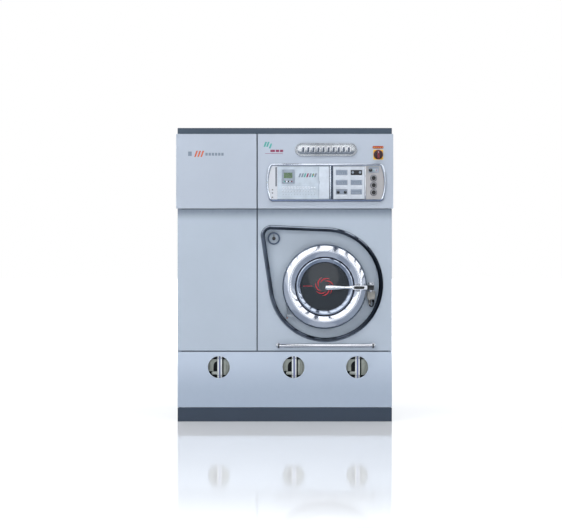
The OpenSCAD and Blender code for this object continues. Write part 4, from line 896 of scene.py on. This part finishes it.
def make_display():
    """The display module: a frame of bars, the screen with blocks for its text, and four keys."""
    back = -0.6205
    tile("display_frame", GREY_PLASTIC, [
        rect(-0.0177, 1.4583, -0.006, 1.5437, 0.002), rect(0.047, 1.4583, 0.0597, 1.5437, 0.002),
        rect(-0.01, 1.525, 0.05, 1.5437, 0.001), rect(-0.01, 1.4583, 0.05, 1.4663, 0.001),
        rect(-0.01, 1.4752, 0.05, 1.491, 0.001),
    ], back, DISPLAY, 0.0006, stands_for=["display_module"], slot="display_plastic")
    screen = -0.6246
    tile("lcd_screen", LCD, rect(-0.0062, 1.4908, 0.0472, 1.5252, 0.0006), back, screen, 0.0002)
    lines = []
    for row, widths in enumerate(("344244340", "424403442", "443044244")):
        z = 1.5175 - row * 0.0076
        for i, width in enumerate(widths):
            x = -0.001 + i * 0.0052
            if width != "0":
                lines.append((x, z, x + int(width) * 0.001, z + 0.0042))
    dashes("lcd_lines", LCD_INK, lines, screen)
    tile("display_keys_back", BLACK, rect(-0.015, 1.4655, 0.057, 1.476, 0.0006), back, -0.624, 0.0002)
    for which, x, material in (("teal", -0.005, TEAL), ("white_left", 0.012, KEY_WHITE),
                               ("white_right", 0.032, KEY_WHITE), ("crimson", 0.047, CRIMSON)):
        tile("display_key_" + which, material, rect(x - 0.0052, 1.4668, x + 0.0052, 1.4748, 0.001),
             -0.6235, -0.6268, 0.0005)


make_bezel()
make_keys()
make_keypad_prints()
make_display()


# ---- instrument panel

WINDOWS_X, WINDOWS_Z = (0.313, 0.403), (1.51, 1.449, 1.392)
KNOBS_X = {"left": 0.327, "right": 0.37}
KNOB_Z = 1.405
SUNK, RAISED, DARK = -0.6184, -0.6226, -0.6232


def make_instrument_face():
    """The pale face, built round its six windows."""
    bm = bmesh.new()
    low, high = 1.3642, 1.5638
    for x0, x1 in ((0.2965, 0.3135), (0.3835, 0.4035), (0.4735, 0.4887)):
        tile_into(bm, rect(x0, low, x1, high, 0.0006), BASE, MODULE, 0.0004)
    for z0, z1 in ((low, 1.3925), (1.4235, 1.4495), (1.4805, 1.5105), (1.5415, high)):
        for x0, x1 in ((0.313, 0.384), (0.403, 0.474)):
            tile_into(bm, rect(x0, z0, x1, z1, 0.0002), BASE, MODULE, 0.0001)
    finish_piece("instrument_face", bm, LABEL, stands_for=["instrument_panel"], slot="instrument_plate")


def make_instruments():
    """Six modules in the windows: four with screens, one dark with two caps, one sunk with two knobs."""
    grey, dark = bmesh.new(), bmesh.new()
    for x in WINDOWS_X:
        for z in WINDOWS_Z:
            if (x, z) == (WINDOWS_X[1], WINDOWS_Z[0]):
                tile_into(dark, rect(x + 0.001, z + 0.001, x + 0.07, z + 0.031, 0.003), BASE, DARK, 0.001)
                continue
            front = SUNK if (x, z) == (WINDOWS_X[0], WINDOWS_Z[2]) else RAISED
            box = rect(x + 0.0012, z + 0.0012, x + 0.0698, z + 0.0308, 0.002)
            tile_into(grey, box, BASE, front, 0.0008)
    finish_piece("instrument_modules", grey, WINDOW_GREY)
    finish_piece("instrument_module_dark", dark, BLACK)
    bm = bmesh.new()
    for x in (0.416, 0.461):
        lathe_into(bm, (x, DARK, 1.5265), [
            (0, 0), (0.0075, 0), (0.0075, 0.0015), (0.0062, 0.002), (0.006, 0.0055), (0.0052, 0.006),
            (0, 0.006)], steps=32)
    finish_piece("instrument_caps", bm, GREY_PLASTIC)
    left, right = WINDOWS_X
    top, middle, bottom = WINDOWS_Z
    screens = [(left, top), (left, middle), (right, middle), (right, bottom)]
    boxes = [(x + 0.006, z + 0.008, x + 0.064, z + 0.024) for x, z in screens]
    dashes("instrument_screens", SLATE, boxes, RAISED)
    dashes("instrument_digits", LABEL, [
        (x + 0.01 + i * 0.013, z + 0.012, x + 0.018 + i * 0.013, z + 0.0135)
        for x, z in screens for i in range(4)
    ], RAISED - PRINT)
    dashes("instrument_labels", KEY_WHITE, [
        (x + 0.006, z - 0.0105, x + 0.065, z - 0.003) for x in WINDOWS_X for z in WINDOWS_Z
    ], MODULE - 0.0005)
    dashes("instrument_label_lines", KEY_SHADE, [
        (x + 0.009, z - 0.008, x + 0.06 - 0.008 * ((i + j) % 3), z - 0.0068)
        for i, x in enumerate(WINDOWS_X) for j, z in enumerate(WINDOWS_Z)
    ], MODULE - 0.0007)


def make_knobs():
    line_y = -0.6339
    for side, x in KNOBS_X.items():
        body = "instrument_knob_" + side
        knurled("instrument_grip_" + side, body, x, KNOB_Z, 0.0088, SUNK, 0.0155)
        line = (x - 0.0006, KNOB_Z + 0.0015, x + 0.0006, KNOB_Z + 0.0068)
        dashes("instrument_line_" + side, LABEL, [line], line_y, body)
    knurled("selector_grip", "selector_knob", 0.525, 1.54, 0.0103, -0.6173, 0.0166)
    dashes("selector_line", LABEL, [(0.5243, 1.542, 0.5257, 1.5482)], line_y, "selector_knob")


make_instrument_face()
make_instruments()
make_knobs()


# ---- cheeks and push buttons

def make_cheeks():
    """The slot and marks on the left; the selector's recess and window on the right."""
    dashes("cheek_marks", BLACK, [(-0.079, z, -0.071, z + 0.006) for z in (1.417, 1.398, 1.372)], CHEEK)
    # The left slot's floor is dark grey: painted shade in the slot.
    dashes("cheek_slot_shade", FIELD_GREY, [(-0.057, 1.441, -0.049, 1.559)], -0.616)
    dashes("selector_recess_floor", GREY_PLASTIC, [(0.5131, 1.5241, 0.5769, 1.5619)], -0.6172)
    dashes("selector_window", LABEL, [(0.54, 1.533, 0.569, 1.548)], -0.6182)
    dashes("selector_window_teal", TEAL, [(0.5425, 1.537, 0.55, 1.544)], -0.6184)
    dashes("selector_window_crimson", CRIMSON, [(0.558, 1.537, 0.5655, 1.544)], -0.6184)


def make_buttons():
    bm = bmesh.new()
    for x, z in BUTTONS.values():
        lathe_into(bm, (x, CHEEK, z), [
            (0.0132, 0), (0.0205, 0), (0.0205, 0.0008), (0.0176, 0.0022), (0.0169, 0.007),
            (0.016, 0.0088), (0.0145, 0.009), (0.0132, 0.008)], steps=48)
    finish_piece("button_collars", bm, BEZEL_DARK)
    for which, (x, z) in BUTTONS.items():
        body = "push_button_" + which
        lathe("button_cap_" + which, BLACK_GLOSS, (x, -0.6233, z), [
            (0, 0), (0.0129, 0), (0.0129, 0.0078), (0.012, 0.0092), (0.01, 0.0097), (0.006, 0.009),
            (0, 0.0088)], steps=48, body=body, stands_for=[body], slot="black_plastic")
    screws("cheek_screw", [(0.544, 1.367)], 0.0042, CHEEK)
    screws("bezel_screws", [(-0.11, 1.464), (0.618, 1.464)], 0.0045, -0.6255)


make_cheeks()
make_buttons()


# ---- fascia marks and plates

def make_oval_plate():
    """A raised rim round a field with ten plain pads, where the photo has lettering."""
    px, pz = PLATE
    pads_x = [px - 0.1395 + i * 0.031 for i in range(10)]
    section = [(0, 0), (0, 0.006), (0.001, 0.0075), (0.003, 0.008), (0.0048, 0.0075), (0.006, 0.006),
               (0.0062, 0.0035), (0.0135, 0.0035), (0.014, 0.0048), (0.015, 0.0051)]
    bm = bmesh.new()
    section_into(bm, stadium(px, pz, 0.19, 0.0405), [(inset, FASCIA - high) for inset, high in section])
    finish_piece("oval_plate", bm, PLATE_CHROME, stands_for=["nameplate"], slot="chrome_trim")
    pads = [rect(x - 0.0115, pz - 0.0205, x + 0.0115, pz + 0.0205, 0.005) for x in pads_x]
    tile("oval_pads", CHROME, pads, -0.6168, -0.6196, 0.0014)
    fields = [rect(x - 0.0065, pz - 0.0145, x + 0.0065, pz + 0.0145, 0.003) for x in pads_x]
    tile("oval_pad_fields", FIELD_GREY, fields, -0.619, -0.61975, 0.0001)


def make_fascia_marks():
    """Coloured bars, where the photo has lettering."""
    slashes("mark_teal", TEAL, [(-0.13, 1.684), (-0.114, 1.684), (-0.098, 1.674)], 0.03, 0.011, FASCIA)
    spans = ((-0.088, -0.06), (-0.055, -0.034), (-0.029, -0.01))
    dashes("mark_crimson", CRIMSON, [(left, 1.652, right, 1.666) for left, right in spans], FASCIA)
    dashes("mark_crimson_rule", CRIMSON, [(-0.12, 1.641, -0.012, 1.6435)], FASCIA)
    dashes("mark_left_grey", SLATE, [(-0.592, 1.628, -0.57, 1.655)] + [
        (-0.486 + i * 0.0195, 1.63, -0.472 + i * 0.0195, 1.647) for i in range(6)], FASCIA)
    feet = [(-0.555, 1.622), (-0.536, 1.622), (-0.517, 1.622)]
    slashes("mark_left_orange", ORANGE, feet, 0.038, 0.01, FASCIA)


def make_isolator():
    ix, iz = ISOLATOR
    card_y = FASCIA - 0.004
    grip_y = FASCIA - 0.03
    tile("isolator_card", YELLOW, rect(ix - 0.0305, iz - 0.0305, ix + 0.0295, iz + 0.0295, 0.003),
         FASCIA, card_y, 0.0008, stands_for=["isolator_plate"], slot="isolator_yellow")
    tile("isolator_strip", SIGNAL_RED, rect(ix - 0.035, iz + 0.0375, ix + 0.032, iz + 0.0525, 0.005),
         FASCIA, FASCIA - 0.002, 0.0003)
    marks_x = [ix - 0.03 + i * 0.013 for i in range(5)]
    dashes("isolator_strip_marks", AMBER, [(x, iz + 0.043, x + 0.009, iz + 0.047) for x in marks_x],
           FASCIA - 0.002)
    ring = [(0, 0), (0, 0.0006), (0.0012, 0.001), (0.0022, 0.0006), (0.0022, 0)]
    rim("isolator_ring", SIGNAL_RED, disc(ix, iz, 0.0298), [
        (inset, card_y - high) for inset, high in ring])
    knob = "isolator_knob"
    # The disc is in the near-black copy of the knob's red: painted shade.
    lathe("isolator_disc", KNOB_RED_SHADED, (ix, card_y - 0.0003, iz), [
        (0, 0), (0.027, 0), (0.0275, 0.001), (0.0272, 0.0085), (0.0255, 0.011), (0.0225, 0.0117),
        (0, 0.0112)], steps=64, body=knob)
    block("isolator_grip", KNOB_RED, [
        ((ix - 0.006, grip_y, iz - 0.024), (ix + 0.006, FASCIA - 0.014, iz + 0.024)),
    ], 0.0025, body=knob, stands_for=[knob], slot="isolator_red")
    dashes("isolator_line", LABEL, [(ix - 0.0012, iz + 0.008, ix + 0.0012, iz + 0.02)], grip_y, knob)


make_oval_plate()
make_fascia_marks()
make_isolator()


# ---- level gauges behind the sight holes

GAUGE_Y = -0.5716


def make_gauge(side, x):
    """White guard bars, a blue glass with its scale, a drain stub, and the panel's lip round it all."""
    gx = x + 0.004
    low, high = GAUGE_Z - 0.09, GAUGE_Z + 0.071
    bm = bmesh.new()
    for left, right in ((-0.0148, -0.0042), (0.0042, 0.0148)):
        cube_into(bm, (gx + left, GAUGE_Y, low), (gx + right, GAUGE_Y + 0.012, high), 0.002)
    lathe_into(bm, (x - 0.046, GAUGE_Y + 0.0106, GAUGE_Z - 0.039), [
        (0, 0), (0.0075, 0), (0.008, 0.001), (0.008, 0.0045), (0.0108, 0.005), (0.011, 0.006),
        (0.011, 0.035), (0, 0.035)], "right", 32)
    finish_piece("gauge_bars_" + side, bm, GAUGE_WHITE)
    block("gauge_glass_" + side, GAUGE_BLUE, [
        ((gx - 0.0041, GAUGE_Y - 0.0006, low + 0.004), (gx + 0.0041, GAUGE_Y + 0.011, high - 0.004)),
    ], 0.0005)
    steps_z = [GAUGE_Z - 0.08 + i * 0.0068 for i in range(22)]
    block("gauge_scale_" + side, SLATE, [
        ((gx - 0.003, GAUGE_Y - 0.0009, z), (gx + 0.003, GAUGE_Y, z + 0.0026)) for z in steps_z], 0.0002)
    nut = [(0, 0), (0.003, 0), (0.0028, 0.0008), (0, 0.001)]
    bm = bmesh.new()
    for z in (GAUGE_Z - 0.052, GAUGE_Z + 0.052):
        for dx in (-0.0095, 0.0095):
            lathe_into(bm, (gx + dx, GAUGE_Y, z), nut, steps=6)
    finish_piece("gauge_nuts_" + side, bm, STEEL)
    lip = [(0, 0), (0.0006, -0.0006), (0.0018, -0.0007), (0.0026, 0.0004), (0.0028, 0.003),
           (0.002, 0.003)]
    # The lip is in the lighter copy of the panel paint: a painted highlight.
    rim("sight_lip_" + side, LIP_HIGHLIGHT, disc(x, GAUGE_Z, 0.07, 96), [
        (inset, FRONT + deep) for inset, deep in lip])


for gauge_side, gauge_x in zip(("left", "centre", "right"), GAUGES_X):
    make_gauge(gauge_side, gauge_x)


# ---- lights

def light(name, place, target, size, power, in_metal=False):
    """A soft box; most light the paint only and leave the polished metal to the room."""
    lamp = bpy.data.lights.new(name, "AREA")
    lamp.shape = "RECTANGLE"
    lamp.size, lamp.size_y = size
    lamp.energy = power
    made = add_object(name, lamp)
    made.location = place
    made.rotation_euler = (Vector(target) - Vector(place)).to_track_quat("-Z", "Y").to_euler()
    made.visible_camera = False
    made.visible_glossy = in_metal
    return made


scene.view_settings.view_transform = "Standard"

light("key", (-2.4, -5.0, 3.0), (0, -0.6, 1.0), (3.0, 2.0), 70)
light("fill", (3.0, -5.5, 1.6), (0, -0.6, 0.9), (2.5, 2.5), 36)
light("low", (0, -4.5, 0.3), (0, -0.6, 0.5), (4.0, 0.5), 10)
light("cornice", (-0.2, -1.9, 4.2), (-0.2, -0.6, 1.2), (3.0, 0.7), 40)
light("top", (0, 0.2, 4.2), (0, 0, 0), (3.5, 3.0), 34)
light("back_left", (-2.5, 3.5, 2.6), (0, 0, 0.9), (2.5, 2.0), 30)
light("back_right", (2.8, 3.2, 2.4), (0, 0, 0.9), (2.5, 2.0), 30)

# The round lamp that the pane mirrors as a pale disc.
pane_glow = light("pane_glow", (0.767, -20.0, 0.733), (0.238, -0.606, 0.889),
                  (0.56, 0.56), 0.75, in_metal=True)
pane_glow.data.shape = "DISK"


# ---- room, floor and camera

WHITE = (1, 1, 1, 1)
PLAIN_ROOM = (0.33, 0.353, 0.385, 1)
BEHIND = (1.0, 1.01, 1.02, 1)
CORE = (0.55, 0.6, 0.68, 1)
LIT, BEAM, FAINT = (1.95, 1.97, 2.00), (0.05, 0.07, 0.11), (0.7, 0.75, 0.83)
NAVY, DUSK, MIST = (0.36, 0.41, 0.49), (0.33, 0.38, 0.46), (0.48, 0.53, 0.61)

# The beams of the mirrored ceiling: angle round the Y axis, width in degrees and colour.
BEAMS = ((17, 3.5, BEAM), (28, 3.5, BEAM), (41, 4, BEAM), (55, 4.5, BEAM), (70, 6, BEAM),
         (94, 4, BEAM), (110, 2.5, FAINT), (126, 3, FAINT), (140, 2.5, FAINT))


def room_stops():
    """Colours that the metal mirrors, by angle: a dim ground, then the lit ceiling between its beams."""
    stops = [(-180, MIST), (-150, DUSK), (-115, MIST), (-70, DUSK), (-45, NAVY), (9, FAINT)]
    for angle, width, colour in BEAMS:
        stops += [(angle, colour), (angle + width, LIT)]
    return stops + [(152, FAINT), (166, MIST)]


def make_room():
    """Plain for the paint, white behind, and a lit ceiling with dark beams for the metal."""
    world = bpy.data.worlds.new("studio")
    scene.world = world
    world.use_nodes = True
    t = Tree(world.node_tree)
    x, y, z = t.add("SeparateXYZ", {0: t.add("TexCoord").outputs["Generated"]}).outputs
    angle = t.reckon("ARCTAN2", t.reckon("ADD", z, 0.1), x)
    ceiling = t.add("ValToRGB", {0: t.reckon("MULTIPLY_ADD", angle, 1 / math.tau, 0.5)})
    ceiling.color_ramp.interpolation = "CONSTANT"
    elements = ceiling.color_ramp.elements
    for i, (degrees, colour) in enumerate(room_stops()):
        place = (degrees + 180) / 360
        if i >= len(elements):
            elements.new(place)
        elements[i].position = place
        elements[i].color = (*colour, 1)
    off_axis = t.reckon("SQRT", t.reckon("ADD", t.reckon("MULTIPLY", x, x), t.reckon("MULTIPLY", z, z)))
    mirror = t.mix(t.ramp(off_axis, 0.045, 0.12), CORE, ceiling.outputs[0])
    mirror = t.mix(t.ramp(y, -0.05, 0.35), mirror, BEHIND)
    path = t.add("LightPath").outputs
    room = t.mix(path["Is Glossy Ray"], PLAIN_ROOM, mirror)
    t.put(world.node_tree.nodes["Background"].inputs["Color"], t.mix(path["Is Camera Ray"], room, WHITE))


def floor_paint():
    """Pale and glossy at a slant only; far off it is as white as the horizon."""
    s = Surface("floor_paint", "#f6f7f9")
    s.set(Base_Color=s.shades(s.noise(1.2, 3), 0.985))
    facing = s.add("LayerWeight").outputs["Facing"]
    s.set(Roughness=s.spread(s.noise(3, 3), 0.05, 0.08))
    s.set(Specular_IOR_Level=s.ramp(facing, 0.8, 0.91, 0.0, 0.9, "LINEAR"))
    near_glow = 0.16
    away = s.add("VectorMath", {0: s.coords}, operation="LENGTH").outputs["Value"]
    seen = s.add("LightPath").outputs["Is Camera Ray"]
    glow = s.ramp(seen, 0.0, 1.0, near_glow, s.ramp(away, 3.5, 9.0, near_glow, 1.0), "LINEAR")
    s.set(Emission_Color=WHITE, Emission_Strength=glow)
    return s.done()


def make_floor():
    bm = bmesh.new()
    loops = [disc(0, 0, r, 96)(0) for r in (90.0, 20.0, 4.0, 0.1)]
    skin(bm, [[(x, y, -0.0005) for x, y in loop] for loop in loops], caps=False)
    floor = add_mesh("floor", bm, floor_paint())
    floor.visible_glossy = False


def make_camera():
    """Square to the front, with the photo's width of view at the fascia."""
    view_width, lens, sensor = 3.443, 100, 36
    data = bpy.data.cameras.new("camera")
    data.lens = lens
    data.sensor_width = sensor
    camera = add_object("camera", data)
    camera.location = (-0.023, FASCIA - view_width * lens / sensor, 0.966)
    camera.rotation_euler = (math.radians(90), 0, 0)
    scene.camera = camera


make_room()
make_floor()
make_camera()
